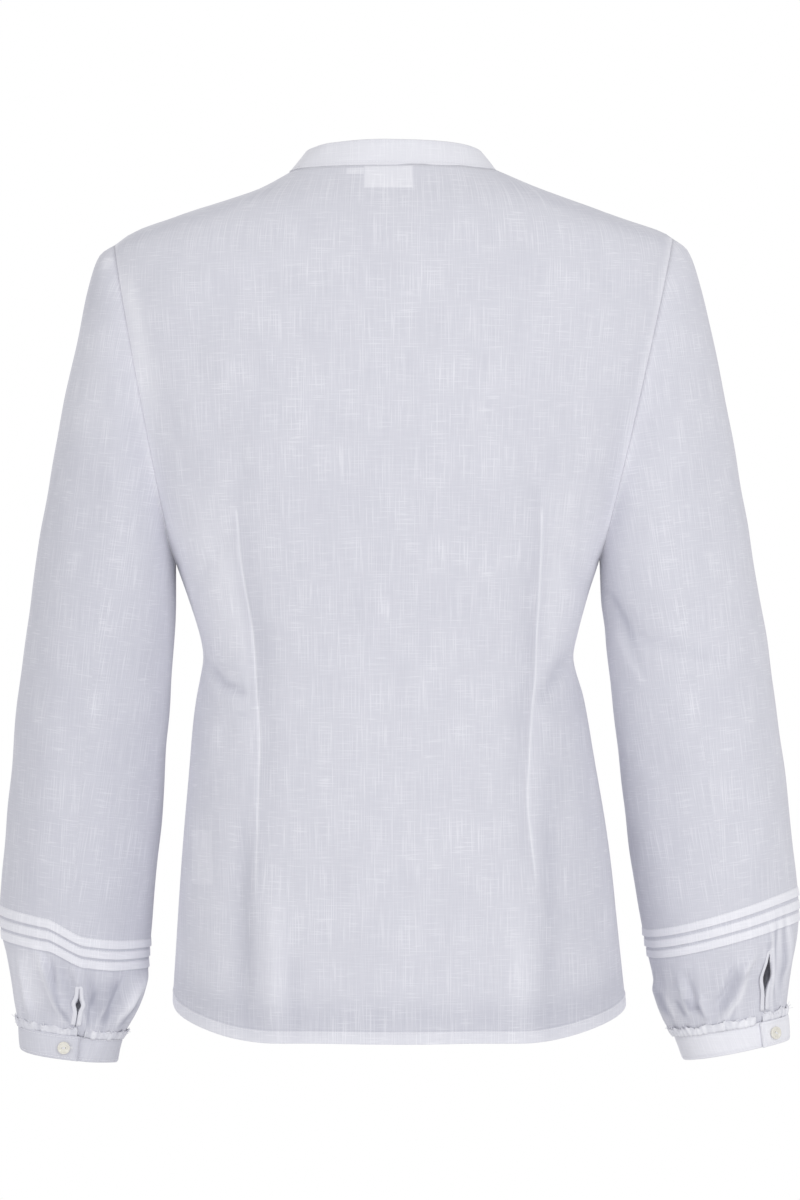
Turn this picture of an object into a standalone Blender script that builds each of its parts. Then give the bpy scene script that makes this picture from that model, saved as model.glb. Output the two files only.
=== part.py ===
"""A stand-collar folk blouse of slub cotton, filled out as if it were worn.

The wearer faces -Y, their left is +X and +Z is up, in metres. The origin is the middle of
the neck seam, level with the two side neck points, where the wearer's neck and shoulders
hold the blouse up. Heights are written as drops, the distance below that origin.

Each sewn piece is a wall of cloth: a flat grid extruded once, with its outer and inner face
laid on a form that is worked out from the garment's own widths and depths.
"""

import math

import bmesh
import bpy
from mathutils import Vector

LEFT, RIGHT = 1, -1  # the wearer's sides, as the sign of X
BACK, FRONT = 1, -1  # as the sign of Y
SIDE_NAMES = {LEFT: "left", RIGHT: "right"}

# ---- cloth -------------------------------------------------------------------------------
CLOTH = 0.0015  # thickness of one wall
BAND = 0.0020  # a folded and pressed band: collar and cuffs
SEAM_GAP = 0.0003
STEP = CLOTH + SEAM_GAP  # how far a layer that lies on another is moved out

# ---- body --------------------------------------------------------------------------------
# Half width of the body by drop: first along the shoulder, then down the side seam.
SHOULDER_LINE = {
    LEFT: (
        (0.0, 0.078), (0.009, 0.094), (0.018, 0.112), (0.027, 0.138), (0.037, 0.174),
        (0.046, 0.198), (0.055, 0.211),
    ),
    RIGHT: (
        (0.0, 0.079), (0.009, 0.101), (0.018, 0.124), (0.027, 0.151), (0.037, 0.180),
        (0.045, 0.204), (0.050, 0.212),
    ),
}
SIDE_SEAM = {
    LEFT: (
        (0.297, 0.165), (0.325, 0.155), (0.355, 0.1455), (0.371, 0.144), (0.400, 0.149),
        (0.447, 0.154), (0.508, 0.159), (0.626, 0.167),
    ),
    RIGHT: (
        (0.294, 0.157), (0.325, 0.147), (0.355, 0.139), (0.371, 0.137), (0.400, 0.145),
        (0.447, 0.153), (0.508, 0.163), (0.628, 0.176),
    ),
}
BACK_DEPTH = (
    (0.0, 0.058), (0.030, 0.079), (0.060, 0.093), (0.110, 0.107), (0.170, 0.116),
    (0.250, 0.112), (0.310, 0.104), (0.371, 0.096), (0.450, 0.112), (0.550, 0.132),
    (0.643, 0.142),
)
FRONT_DEPTH = (
    (0.0, 0.050), (0.030, 0.058), (0.060, 0.071), (0.110, 0.095), (0.170, 0.117),
    (0.250, 0.130), (0.310, 0.122), (0.371, 0.108), (0.450, 0.114), (0.550, 0.124),
    (0.643, 0.130),
)
DEPTH = {BACK: BACK_DEPTH, FRONT: FRONT_DEPTH}
FULLNESS = 0.82  # below 1 the section is squarer than an ellipse
ARMHOLE_DEPTH = 0.058  # how far the armhole reaches behind and in front of the shoulder point
EVEN_REACH = 0.032  # how far up and down the inside of a panel evens out its edge's corners
ARMHOLE_TURN = math.radians(25)  # how far the armhole cuts round from the side of the body
FRONT_NECK_DROP = 0.068
HEM_DROP = {BACK: 0.647, FRONT: 0.643}  # at the centre line
HEM_LOBE = 0.004  # the hem swings a little lower under the darts
DART_COLUMN = 0.5  # the darts run down the grid's columns at this place
# Each dart's line: (drop, distance from the centre).
DART_LINE = {
    LEFT: (
        (0.250, 0.1160), (0.296, 0.1124), (0.343, 0.1051), (0.395, 0.1007),
        (0.424, 0.0988), (0.472, 0.0995), (0.515, 0.1007), (0.543, 0.1010),
    ),
    RIGHT: (
        (0.250, 0.1105), (0.296, 0.1091), (0.343, 0.1073), (0.385, 0.1062),
        (0.412, 0.1033), (0.440, 0.1011), (0.472, 0.0994), (0.519, 0.1040), (0.543, 0.1045),
    ),
}
DART_TOP, DART_WAIST, DART_END = 0.250, 0.390, 0.543
DART_DEEP = 0.0035
HEM_HIGH = 0.009
OVERLAP = 0.0125  # each front passes the centre line by this much
LAP_FADE = 0.030  # the step that makes room for the other front fades out over this width

# ---- sleeves -----------------------------------------------------------------------------
# Outer and inner line of each sleeve, from the shoulder point and the underarm to the cuff,
# as (distance from the centre, drop).
OUTER_LINE = {
    LEFT: (
        (0.211, 0.055), (0.223, 0.063), (0.231, 0.086), (0.240, 0.128), (0.250, 0.173),
        (0.262, 0.240), (0.275, 0.325), (0.287, 0.416), (0.295, 0.508), (0.299, 0.553),
        (0.298, 0.578), (0.291, 0.616), (0.286, 0.648),
    ),
    RIGHT: (
        (0.212, 0.050), (0.224, 0.060), (0.233, 0.086), (0.243, 0.128), (0.252, 0.173),
        (0.265, 0.240), (0.280, 0.325), (0.293, 0.416), (0.304, 0.508), (0.309, 0.553),
        (0.308, 0.578), (0.302, 0.616), (0.300, 0.640),
    ),
}
INNER_LINE = {
    LEFT: (
        (0.165, 0.297), (0.165, 0.325), (0.167, 0.360), (0.172, 0.432), (0.179, 0.523),
        (0.184, 0.569), (0.190, 0.620), (0.197, 0.642), (0.206, 0.658),
    ),
    RIGHT: (
        (0.157, 0.294), (0.158, 0.325), (0.162, 0.356), (0.170, 0.432), (0.181, 0.523),
        (0.189, 0.569), (0.200, 0.620), (0.206, 0.642), (0.213, 0.656),
    ),
}
INNER_PACE = 1.5  # above 1 the sleeve's rings level out sooner
SLEEVE_DEPTH = (
    (0.0, ARMHOLE_DEPTH), (0.15, 0.066), (0.35, 0.064), (0.60, 0.061), (0.82, 0.061),
    (0.92, 0.050), (1.0, 0.033),
)
SLEEVE_FORWARD = ((0.0, 0.0), (0.5, 0.004), (1.0, 0.012))  # the arm hangs a little to the front
# Where the three tucks' folded edges lie, as shares of the sleeve's length.
TUCK_FOOTS = {LEFT: (0.860, 0.8755, 0.891), RIGHT: (0.850, 0.866, 0.8815)}
TUCK_LONG, TUCK_SHARE = 0.0065, 0.0105
TUCK_PROUD = 0.0012
GATHER_FOLDS = 5
GATHER_DEEP = 0.0022
SLIT_TURN = {LEFT: math.radians(97), RIGHT: math.radians(56)}  # 0 is the outer side, 90 the back
SLIT_TOP = {LEFT: 0.932, RIGHT: 0.910}
SLIT_WIDE = {LEFT: 0.0022, RIGHT: 0.0032}
BINDING_WIDE = 0.005

# ---- cuffs, collar and trims -------------------------------------------------------------
CUFF_HIGH = 0.019
CUFF_LAP = math.radians(30)
CUFF_FOOT_SHIFT = {LEFT: (0.001, -0.004), RIGHT: (-0.001, -0.008)}  # outer and inner line, inwards
FRILL_HIGH = 0.006
COLLAR_HIGH = 0.020
COLLAR_LEAN = {"back": math.radians(14), "side": math.radians(38), "front": math.radians(22)}
PLACKET_WIDE, PLACKET_THICK = 0.024, 0.001
BUTTON_WIDE, BUTTON_THICK, BUTTON_RIM = 0.0095, 0.0020, 0.0012
BUTTON_SIDES = 12
FRONT_BUTTONS = 7
FIRST_BUTTON_DROP, LAST_BUTTON_DROP = 0.095, 0.563
NECK_LABEL = (0.036, 0.018)
SIZE_TAB = (0.014, 0.006)
CARE_LABEL_PLACES, CARE_LABEL_DROPS = (0.72, 0.95), (0.504, 0.546)

# ---- grids -------------------------------------------------------------------------------
BACK_COLUMNS, FRONT_COLUMNS = 20, 12
SHOULDER_ROWS, ARMHOLE_ROWS, SKIRT_ROWS = 3, 10, 8
BODY_ROWS = SHOULDER_ROWS + ARMHOLE_ROWS + SKIRT_ROWS
SLEEVE_COLUMNS = 2 * ARMHOLE_ROWS  # so that the armhole's points face each other
COLLAR_COLUMNS = 32
CUFF_COLUMNS = 28

WHITE_COTTON = ("slub_cotton", (0.72, 0.72, 0.79), 0.90)
FOLDED_COTTON = ("folded_cotton", (0.80, 0.80, 0.85), 0.88)
LABEL_TAPE = ("label_tape", (0.84, 0.84, 0.87), 0.75)
SHELL = ("shell_button", (0.80, 0.79, 0.74), 0.35)


def smooth(points, at):
    """The value at a place on a smooth line through (place, value) points."""
    at = min(max(at, points[0][0]), points[-1][0])
    last = len(points) - 1
    i = min(next((k for k in range(last) if at <= points[k + 1][0]), last - 1), last - 1)
    (x0, y0), (x1, y1) = points[i], points[i + 1]
    wide = x1 - x0
    before, after = points[max(i - 1, 0)], points[min(i + 2, last)]
    slope_in = (y1 - before[1]) / (x1 - before[0])
    slope_out = (after[1] - y0) / (after[0] - x0)
    t = (at - x0) / wide
    return (
        (2 * t**3 - 3 * t**2 + 1) * y0
        + (t**3 - 2 * t**2 + t) * wide * slope_in
        + (3 * t**2 - 2 * t**3) * y1
        + (t**3 - t**2) * wide * slope_out
    )


def along(line, share):
    """The point at a share of a line's length, as (first value, second value)."""
    lengths = [0.0]
    for a, b in zip(line, line[1:]):
        lengths.append(lengths[-1] + math.dist(a, b))
    first = [(s / lengths[-1], p[0]) for s, p in zip(lengths, line)]
    second = [(s / lengths[-1], p[1]) for s, p in zip(lengths, line)]
    return smooth(first, share), smooth(second, share)


def ease(t):
    """0 to 1 with soft ends."""
    t = min(max(t, 0.0), 1.0)
    return t * t * (3 - 2 * t)


def mix(a, b, t):
    return a + (b - a) * t


# ---- body form ---------------------------------------------------------------------------
def armhole(side):
    """(centre distance, centre drop, half width, half height) of the armhole's oval."""
    top_drop, top_x = SHOULDER_LINE[side][-1]
    low_drop, low_x = SIDE_SEAM[side][0]
    return (top_x + low_x) / 2, (top_drop + low_drop) / 2, (top_x - low_x) / 2, (low_drop - top_drop) / 2


def section_edge(side, drop):
    """Where a panel ends at this drop: its distance from the centre, and how open the armhole is."""
    if drop <= SHOULDER_LINE[side][-1][0]:
        return smooth(SHOULDER_LINE[side], drop), 0.0
    if drop >= SIDE_SEAM[side][0][0]:
        return smooth(SIDE_SEAM[side], drop), 0.0
    centre_x, centre_drop, wide, high = armhole(side)
    up = (centre_drop - drop) / high
    return centre_x + wide * up, math.sqrt(1 - up * up)


def felt_edge(side, drop):
    """The same as the inside of a panel feels it: evened out over a short way up and down."""
    reach = min(EVEN_REACH, drop)
    near = [section_edge(side, drop + reach * step) for step in (-0.8, -0.4, 0, 0.4, 0.8)]
    shares = (1 / 9, 2 / 9, 3 / 9, 2 / 9, 1 / 9)
    return tuple(sum(share * found[i] for share, found in zip(shares, near)) for i in (0, 1))


def dart_place(side, drop):
    """The place of a dart's line. Above and below the dart it keeps its last place."""
    drop = min(max(drop, DART_TOP), DART_END)
    return abs(place_of(side * smooth(DART_LINE[side], drop), drop))


def dart(place, drop):
    """How far the two waist darts pull the back in."""
    if not DART_TOP < drop < DART_END:
        return 0.0
    reach = DART_WAIST - DART_TOP if drop < DART_WAIST else DART_END - DART_WAIST
    strength = 1 - abs(drop - DART_WAIST) / reach
    aside = (abs(place) - dart_place(LEFT if place >= 0 else RIGHT, drop)) / 0.05
    return DART_DEEP * strength * math.exp(-aside * aside)


def beside_dart(place, drop):
    """Moves a column's place sideways, so that one column follows each dart."""
    middle = dart_place(LEFT if place >= 0 else RIGHT, drop)
    if abs(place) < DART_COLUMN:
        return place * middle / DART_COLUMN
    return math.copysign(1 - (1 - abs(place)) * (1 - middle) / (1 - DART_COLUMN), place)


def body_point(place, drop, facing):
    """A point of the body. place runs from -1 at the wearer's right edge to 1 at their left."""
    side = LEFT if place >= 0 else RIGHT
    at_edge = abs(place) ** 6  # the shoulder's corner and the armhole's oval are sharp at the edge only
    edge_x, out = (mix(*pair, at_edge) for pair in zip(felt_edge(side, drop), section_edge(side, drop)))
    edge_y, turn = ARMHOLE_DEPTH * out, math.pi / 2 - ARMHOLE_TURN * out
    depth = smooth(DEPTH[facing], drop)
    angle = abs(place) * turn
    squareness = mix(1.0, FULLNESS, 1 - (math.pi / 2 - turn) / ARMHOLE_TURN)
    rise = max(0.0, (math.cos(angle) - math.cos(turn)) / (1 - math.cos(turn))) ** squareness
    y = edge_y + (depth - edge_y) * rise
    if facing == BACK:
        y -= dart(place, drop)
    return Vector((side * edge_x * math.sin(angle) / math.sin(turn), facing * y, -drop))


def body_normal(place, drop, facing):
    """The outward direction of the body at a point."""
    small = 0.01
    here = min(max(place, -1 + small), 1 - small)
    low = max(drop, small)
    across = body_point(here + small, low, facing) - body_point(here - small, low, facing)
    down = body_point(here, low + small, facing) - body_point(here, low - small, facing)
    return (across.cross(down) * facing).normalized()


def place_of(x, drop):
    """The place on the body that lies at a distance from the centre line."""
    edge_x, out = felt_edge(LEFT if x >= 0 else RIGHT, drop)
    turn = math.pi / 2 - ARMHOLE_TURN * out
    return math.asin(max(-1.0, min(1.0, x * math.sin(turn) / edge_x))) / turn


def neck_drop(place, facing):
    return FRONT_NECK_DROP * math.cos(place * math.pi / 2) ** 1.4 if facing == FRONT else 0.0


def neck_place(place, facing):
    """(place on the body, drop) of the neck seam. place runs from one side neck point, -1, to 1."""
    side = LEFT if place >= 0 else RIGHT
    drop = neck_drop(place, facing)
    return place_of(smooth(SHOULDER_LINE[side], 0.0) * math.sin(place * math.pi / 2), drop), drop


def hem_drop(place, facing):
    side = LEFT if place >= 0 else RIGHT
    corner = SIDE_SEAM[side][-1][0]
    lobe = HEM_LOBE * math.exp(-(((abs(place) - DART_COLUMN) / 0.18) ** 2))
    return mix(HEM_DROP[facing], corner, abs(place) ** 2.6) + lobe * (1 - place**8)


def panel_drop(place, down, facing):
    """The drop of a panel's point. down counts its rows from the neck or shoulder to the hem."""
    share = (place + 1) / 2
    neck, hem = neck_drop(place, facing), hem_drop(place, facing)
    shoulder = mix(SHOULDER_LINE[RIGHT][-1][0], SHOULDER_LINE[LEFT][-1][0], share) + 1.15 * neck
    underarm = mix(SIDE_SEAM[RIGHT][0][0], SIDE_SEAM[LEFT][0][0], share)
    if down <= SHOULDER_ROWS:
        return mix(neck, shoulder, down / SHOULDER_ROWS)
    if down <= SHOULDER_ROWS + ARMHOLE_ROWS:
        turn = math.pi * (down - SHOULDER_ROWS) / ARMHOLE_ROWS
        return mix(shoulder, underarm, (1 - math.cos(turn)) / 2)
    if down == BODY_ROWS:
        return hem
    return mix(underarm, hem - HEM_HIGH, (down - SHOULDER_ROWS - ARMHOLE_ROWS) / (SKIRT_ROWS - 1))


def trimmed(place):
    """The place moved in from the side edges, so that two panels keep the seam's gap."""
    edge = 1 - SEAM_GAP / 0.2
    return min(max(place, -edge), edge)


def laid(place, drop, facing, out):
    """A point that lies off the body's form by a distance."""
    return body_point(place, drop, facing) + body_normal(place, drop, facing) * out


def thickness(row, lapped=0.0):
    """A panel's wall, which is doubled along the turned hem, but not where it lies on another."""
    return CLOTH * (2 - lapped) if row == BODY_ROWS else CLOTH


def lap_step(x):
    """1 where the two fronts lie on each other, and 0 away from the centre line."""
    return ease((LAP_FADE - abs(x)) / (LAP_FADE - OVERLAP))


# ---- sleeve form -------------------------------------------------------------------------
def sleeve_ring(side, down):
    """Outer and inner end of the sleeve's ring at a share of its length."""
    return along(OUTER_LINE[side], down), along(INNER_LINE[side], down**INNER_PACE)


def sleeve_point(side, turn, down, out=0.0):
    """A point of the sleeve. turn is 0 on the outer side and goes by the back to the inner side."""
    outer, inner = sleeve_ring(side, down)
    centre_x, centre_drop = (outer[0] + inner[0]) / 2, (outer[1] + inner[1]) / 2
    half = math.dist(outer, inner) / 2
    deep = smooth(SLEEVE_DEPTH, down)
    last_tuck = TUCK_FOOTS[side][-1]
    gather = ease((down - last_tuck) / (0.97 - last_tuck))
    out += GATHER_DEEP * gather * math.cos(GATHER_FOLDS * (turn - SLIT_TURN[side]))
    level = ease((down - 0.9) / 0.1)  # at the wrist the cloth's thickness lies level
    x = centre_x + (outer[0] - inner[0]) / 2 * math.cos(turn) * (1 + out / half)
    drop = centre_drop + (outer[1] - inner[1]) / 2 * math.cos(turn) * (1 + out * (1 - level) / half)
    y = (deep + out) * math.sin(turn) - smooth(SLEEVE_FORWARD, down)
    return Vector((side * x, y, -drop))


def tuck_proud(side, down):
    """How far the tucks lift the sleeve's outer face: most at their folded lower edges."""
    sleeve_long = 0.60
    for foot in TUCK_FOOTS[side]:
        above = (foot - down) * sleeve_long
        if -1e-6 <= above <= TUCK_LONG:
            return TUCK_PROUD * (1 - 0.5 * above / TUCK_LONG)
    return 0.0


def slit_gap(side, down):
    """Half the width of the sleeve slit, in metres."""
    share = (down - SLIT_TOP[side]) / (1 - SLIT_TOP[side])
    if share <= 0:
        return 0.0
    return SEAM_GAP / 2 + SLIT_WIDE[side] * math.sin(math.pi * min(share, 1.0)) ** 1.5


def sleeve_rows(side):
    """Shares of the sleeve's length where its grid has a ring."""
    upper = [0.0, 0.005, 0.045, 0.10, 0.19, 0.31, 0.44, 0.58, 0.72]
    tucks = [row for foot in TUCK_FOOTS[side] for row in (foot - TUCK_SHARE, foot, foot + 0.0012)]
    return upper + tucks + [0.93, 0.965, 1.0]


# ---- making solids -----------------------------------------------------------------------
def finish(description):
    """The material of a sub-part, made once."""
    name, colour, roughness = description
    material = bpy.data.materials.get(name) or bpy.data.materials.new(name)
    material.use_nodes = True
    shader = material.node_tree.nodes["Principled BSDF"]
    shader.inputs["Base Color"].default_value = (*colour, 1.0)
    shader.inputs["Roughness"].default_value = roughness
    shader.inputs["Metallic"].default_value = 0.0
    material.diffuse_color = (*colour, 1.0)
    return material


def add_object(name, mesh_data, description):
    bmesh.ops.recalc_face_normals(mesh_data, faces=mesh_data.faces)
    mesh = bpy.data.meshes.new(name)
    mesh_data.to_mesh(mesh)
    mesh_data.free()
    mesh.shade_smooth()
    mesh.set_sharp_from_angle(angle=math.radians(40))
    mesh.materials.append(finish(description))
    piece = bpy.data.objects.new(name, mesh)
    bpy.context.scene.collection.objects.link(piece)
    return piece


def wall(name, columns, rows, outer, inner, description, sewn=None):
    """A wall of cloth on a grid of columns by rows.

    outer and inner give the point of each face for (column, row). sewn, if given, says for a
    row whether the first and the last column are joined there, which makes a tube.
    """
    mesh_data = bmesh.new()
    bmesh.ops.create_grid(mesh_data, x_segments=columns, y_segments=rows, size=0.5)
    under = list(mesh_data.verts)
    grown = bmesh.ops.extrude_face_region(mesh_data, geom=mesh_data.faces[:], use_keep_orig=True)
    over = [v for v in grown["geom"] if isinstance(v, bmesh.types.BMVert)]
    cell = {}
    for verts, face in ((under, inner), (over, outer)):
        for vert in verts:
            column, row = round((vert.co.x + 0.5) * columns), round((0.5 - vert.co.y) * rows)
            cell[vert] = (column, row, face)
    for vert, (column, row, face) in cell.items():
        vert.co = face(column, row)
    if sewn:
        close_tube(mesh_data, cell, columns, sewn)
    return add_object(name, mesh_data, description)


def close_tube(mesh_data, cell, columns, sewn):
    """Joins the last column to the first in the rows where the cloth is sewn."""
    seam_faces = [
        face
        for face in mesh_data.faces
        if len({cell[v][0] for v in face.verts}) == 1
        and cell[face.verts[0]][0] in (0, columns)
        and all(sewn(cell[v][1]) for v in face.verts)
    ]
    bmesh.ops.delete(mesh_data, geom=seam_faces, context="FACES_ONLY")
    first = {(row, face): v for v, (column, row, face) in cell.items() if column == 0}
    pairs = {
        v: first[(row, face)]
        for v, (column, row, face) in cell.items()
        if column == columns and sewn(row)
    }
    bmesh.ops.weld_verts(mesh_data, targetmap=pairs)
    loose = [edge for edge in mesh_data.edges if not edge.link_faces]
    bmesh.ops.delete(mesh_data, geom=loose, context="EDGES")


def disc(name, centre, normal, description):
    """A button: a turned disc with a raised rim, standing on its back face."""
    mesh_data = bmesh.new()
    radius = BUTTON_WIDE / 2
    profile = ((0.0, 0.0), (radius - 0.0006, 0.0), (radius, 0.0006), (radius, BUTTON_THICK - 0.0004),
               (radius - 0.0004, BUTTON_THICK), (radius - BUTTON_RIM, BUTTON_THICK - 0.0006),
               (0.0, BUTTON_THICK - 0.0006))
    verts = [mesh_data.verts.new((x, 0.0, z)) for x, z in profile]
    edges = [mesh_data.edges.new(pair) for pair in zip(verts, verts[1:])]
    bmesh.ops.spin(mesh_data, geom=verts + edges, axis=(0, 0, 1), cent=(0, 0, 0),
                   angle=2 * math.pi, steps=BUTTON_SIDES, use_merge=True)
    bmesh.ops.remove_doubles(mesh_data, verts=mesh_data.verts, dist=1e-5)
    turn = Vector((0, 0, 1)).rotation_difference(normal).to_matrix().to_4x4()
    turn.translation = centre
    bmesh.ops.transform(mesh_data, matrix=turn, verts=mesh_data.verts)
    return add_object(name, mesh_data, description)


# ---- the pieces --------------------------------------------------------------------------
def make_back():
    def face(layers):
        def point(column, row):
            place = 2 * column / BACK_COLUMNS - 1
            drop = panel_drop(place, row, BACK)
            return laid(trimmed(beside_dart(place, drop)), drop, BACK, -layers * thickness(row))
        return point

    wall("back", BACK_COLUMNS, BODY_ROWS, face(0), face(1), WHITE_COTTON)


def front_place(side, column, row):
    """(place, drop) of a front panel's point, from its free edge at column 0 to the side seam."""
    lap_x = (-OVERLAP, 0.0, OVERLAP + 0.001, LAP_FADE)
    neck_x = smooth(SHOULDER_LINE[side], 0.0)
    if column < len(lap_x):
        share = math.asin(lap_x[column] / neck_x) * 2 / math.pi
    else:
        first = math.asin(LAP_FADE / neck_x) * 2 / math.pi
        share = mix(first, 1.0, (column - len(lap_x) + 1) / (FRONT_COLUMNS - len(lap_x) + 1))
    at_neck, _ = neck_place(side * share, FRONT)
    down = min(row / SHOULDER_ROWS, 1.0)
    drop = panel_drop(side * share, row, FRONT)
    if column < len(lap_x):
        return place_of(side * lap_x[column], drop), drop
    spread = mix(place_of(side * LAP_FADE, drop) * side, 1.0,
                 (column - len(lap_x) + 1) / (FRONT_COLUMNS - len(lap_x) + 1))
    return trimmed(mix(at_neck, side * spread, down)), drop


def front_out(side, x):
    """The right front lies on the left one, so one steps out and the other in at the centre."""
    return -side * lap_step(x) * STEP / 2


def make_front(side):
    def face(layers):
        def point(column, row):
            place, drop = front_place(side, column, row)
            x = body_point(place, drop, FRONT).x
            lapped = lap_step(x) if side == RIGHT else 0.0
            return laid(place, drop, FRONT, front_out(side, x) - layers * thickness(row, lapped))
        return point

    wall(f"front_{SIDE_NAMES[side]}", FRONT_COLUMNS, BODY_ROWS, face(0), face(1), WHITE_COTTON)


def placket_point(column, row, out):
    drop = panel_drop(0.0, row, FRONT)
    x = (OVERLAP, 0.0, OVERLAP - PLACKET_WIDE)[column]
    return laid(place_of(x, drop), drop, FRONT, STEP / 2 + SEAM_GAP + out)


def make_placket():
    """The button band, on the right front's free edge."""
    wall("front_placket", 2, BODY_ROWS, lambda column, row: placket_point(column, row, PLACKET_THICK),
         lambda column, row: placket_point(column, row, 0.0), FOLDED_COTTON)


def placket_seat(drop):
    """(centre, normal) of a button's place on the placket, on the flat between two rows."""
    drops = [panel_drop(0.0, row, FRONT) for row in range(BODY_ROWS + 1)]
    row = next(k for k in range(BODY_ROWS) if drop <= drops[k + 1])
    high, low = placket_point(1, row, PLACKET_THICK), placket_point(1, row + 1, PLACKET_THICK)
    centre = high.lerp(low, (drop - drops[row]) / (drops[row + 1] - drops[row]))
    return centre, (low - high).cross(Vector((1, 0, 0))).normalized()


def make_sleeve(side):
    rows = sleeve_rows(side)
    step = 2 * math.pi / SLEEVE_COLUMNS
    armhole_start = round(SLIT_TURN[side] / step) * step

    def face(out, tucked):
        def point(column, row):
            down = rows[row]
            start = mix(armhole_start, SLIT_TURN[side], ease((down - 0.05) / 0.4))
            turn = start + step * column
            radius = mix(0.060, 0.036, ease((down - 0.9) / 0.1))
            if column == 0:
                turn += slit_gap(side, down) / radius
            elif column == SLEEVE_COLUMNS:
                turn -= slit_gap(side, down) / radius
            if row < 2:
                found = sleeve_point(side, turn, 0.0, out)
                found.x = sleeve_point(side, turn, 0.0).x + side * (2 * SEAM_GAP, 0.003)[row]
                return found
            return sleeve_point(side, turn, down, out + (tuck_proud(side, down) if tucked else 0.0))
        return point

    def sewn(row):
        return rows[row] <= SLIT_TOP[side]

    wall(f"sleeve_{SIDE_NAMES[side]}", SLEEVE_COLUMNS, len(rows) - 1,
         face(0.0, True), face(-CLOTH, False), WHITE_COTTON, sewn)


def make_binding(side):
    """The strip that binds both edges of the sleeve slit, as one hairpin round its top."""
    start, top = SLIT_TURN[side], SLIT_TOP[side]
    straight, bend = 5, 6
    low = 0.985

    def path(step):
        """(turn direction, share of the slit, angle round its top) at a step of the hairpin."""
        if step < straight:
            return -1, mix(low, top, step / straight), 0.0
        if step <= straight + bend:
            return 0, top, math.pi * ((step - straight) / bend)
        return 1, mix(top, low, (step - straight - bend) / straight), 0.0

    def face(out):
        def point(column, row):
            way, down, bent = path(column)
            wide = SEAM_GAP + BINDING_WIDE * row
            if way:
                offset, lift = way * (slit_gap(side, down) + wide), 0.0
            else:
                offset, lift = -math.cos(bent) * (SEAM_GAP + wide), math.sin(bent) * (wide + SEAM_GAP)
            down -= lift / 0.60
            radius = mix(0.060, 0.036, ease((down - 0.9) / 0.1))
            return sleeve_point(side, start + offset / radius, down, out + SEAM_GAP + 0.0003)
        return point

    wall(f"sleeve_{SIDE_NAMES[side]}_binding", 2 * straight + bend, 1, face(0.0010), face(0.0), FOLDED_COTTON)


def cuff_ring(side, share):
    """Outer and inner end of the cuff's ring, from its top to its foot."""
    outer, inner = sleeve_ring(side, 1.0)
    outer_in, inner_in = CUFF_FOOT_SHIFT[side]
    fall = CUFF_HIGH * share
    return (outer[0] - outer_in * share, outer[1] + fall), (inner[0] - inner_in * share, inner[1] + fall)


def cuff_point(side, turn, share, out):
    outer, inner = cuff_ring(side, share)
    half = math.dist(outer, inner) / 2
    deep = SLEEVE_DEPTH[-1][1] + out
    centre_x, centre_drop = (outer[0] + inner[0]) / 2, (outer[1] + inner[1]) / 2
    x = centre_x + (outer[0] - inner[0]) / 2 * math.cos(turn) * (1 + out / half)
    drop = centre_drop + (outer[1] - inner[1]) / 2 * math.cos(turn)
    return Vector((side * x, deep * math.sin(turn) - SLEEVE_FORWARD[-1][1], -drop))


def cuff_lap_turn(side):
    """Where the cuff's upper end lies, on the slit."""
    return SLIT_TURN[side] + math.radians(7)


def make_cuff(side):
    """A band round the wrist whose upper end laps over its lower end, where it is buttoned."""
    start = cuff_lap_turn(side)
    whole = 2 * math.pi + CUFF_LAP

    def face(out):
        def point(column, row):
            share = column / CUFF_COLUMNS
            turn = start - CUFF_LAP + whole * share
            lift = (BAND + SEAM_GAP * 1.5) * ease((share - 0.75) / 0.16)
            high = mix(SEAM_GAP / CUFF_HIGH, 1.0, row)
            return cuff_point(side, turn, high, out + lift)
        return point

    wall(f"cuff_{SIDE_NAMES[side]}", CUFF_COLUMNS, 1, face(0.0), face(-BAND), FOLDED_COTTON)


def make_frill(side):
    """The gathered heading that stands above the cuff, outside the sleeve's end."""
    start = cuff_lap_turn(side)
    gap = math.radians(5)

    def face(out):
        def point(column, row):
            share = column / CUFF_COLUMNS
            turn = start + gap + (2 * math.pi - 2 * gap) * share
            down = mix(0.9995, 1 - FRILL_HIGH / 0.60, row)
            lift = 0.0008 + 0.0012 * row
            return sleeve_point(side, turn, down, out + lift + GATHER_DEEP * 0.2)
        return point

    wall(f"cuff_{SIDE_NAMES[side]}_frill", CUFF_COLUMNS, 1, face(0.0010), face(0.0), FOLDED_COTTON)


def neckline(place):
    """A point of the neck seam and its outward direction in plan. place is 0 at the centre back,
    plus or minus 0.5 at the side neck points and plus or minus 1 at the centre front."""
    side = LEFT if place >= 0 else RIGHT
    facing = BACK if abs(place) <= 0.5 else FRONT
    across = 2 * place if facing == BACK else 2 * (side - place)
    found = body_point(*neck_place(across, facing), facing)
    angle = place * math.pi
    out = Vector((math.sin(angle), math.cos(angle), 0.0)).normalized()
    return found, out


def collar_point(place, share, out):
    """share runs from the neck seam at 0 to the collar's top edge at 1."""
    seam, outward = neckline(place)
    near_side = math.sin(abs(place) * math.pi) ** 2
    plain = "back" if abs(place) < 0.5 else "front"
    lean = mix(COLLAR_LEAN[plain], COLLAR_LEAN["side"], near_side)
    up = Vector((0, 0, math.cos(lean))) - outward * math.sin(lean)
    level = outward * math.cos(lean) + Vector((0, 0, math.sin(lean)))
    clear = SEAM_GAP * 2 + (STEP / 2 + SEAM_GAP) * ease((abs(place) - 0.7) / 0.2)
    return seam + up * (clear + COLLAR_HIGH * share) + level * out


def collar_span():
    """How far the collar's ends pass the centre front, as a place."""
    return OVERLAP / (2 * smooth(SHOULDER_LINE[LEFT], 0.0) * math.pi / 2)


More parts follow.
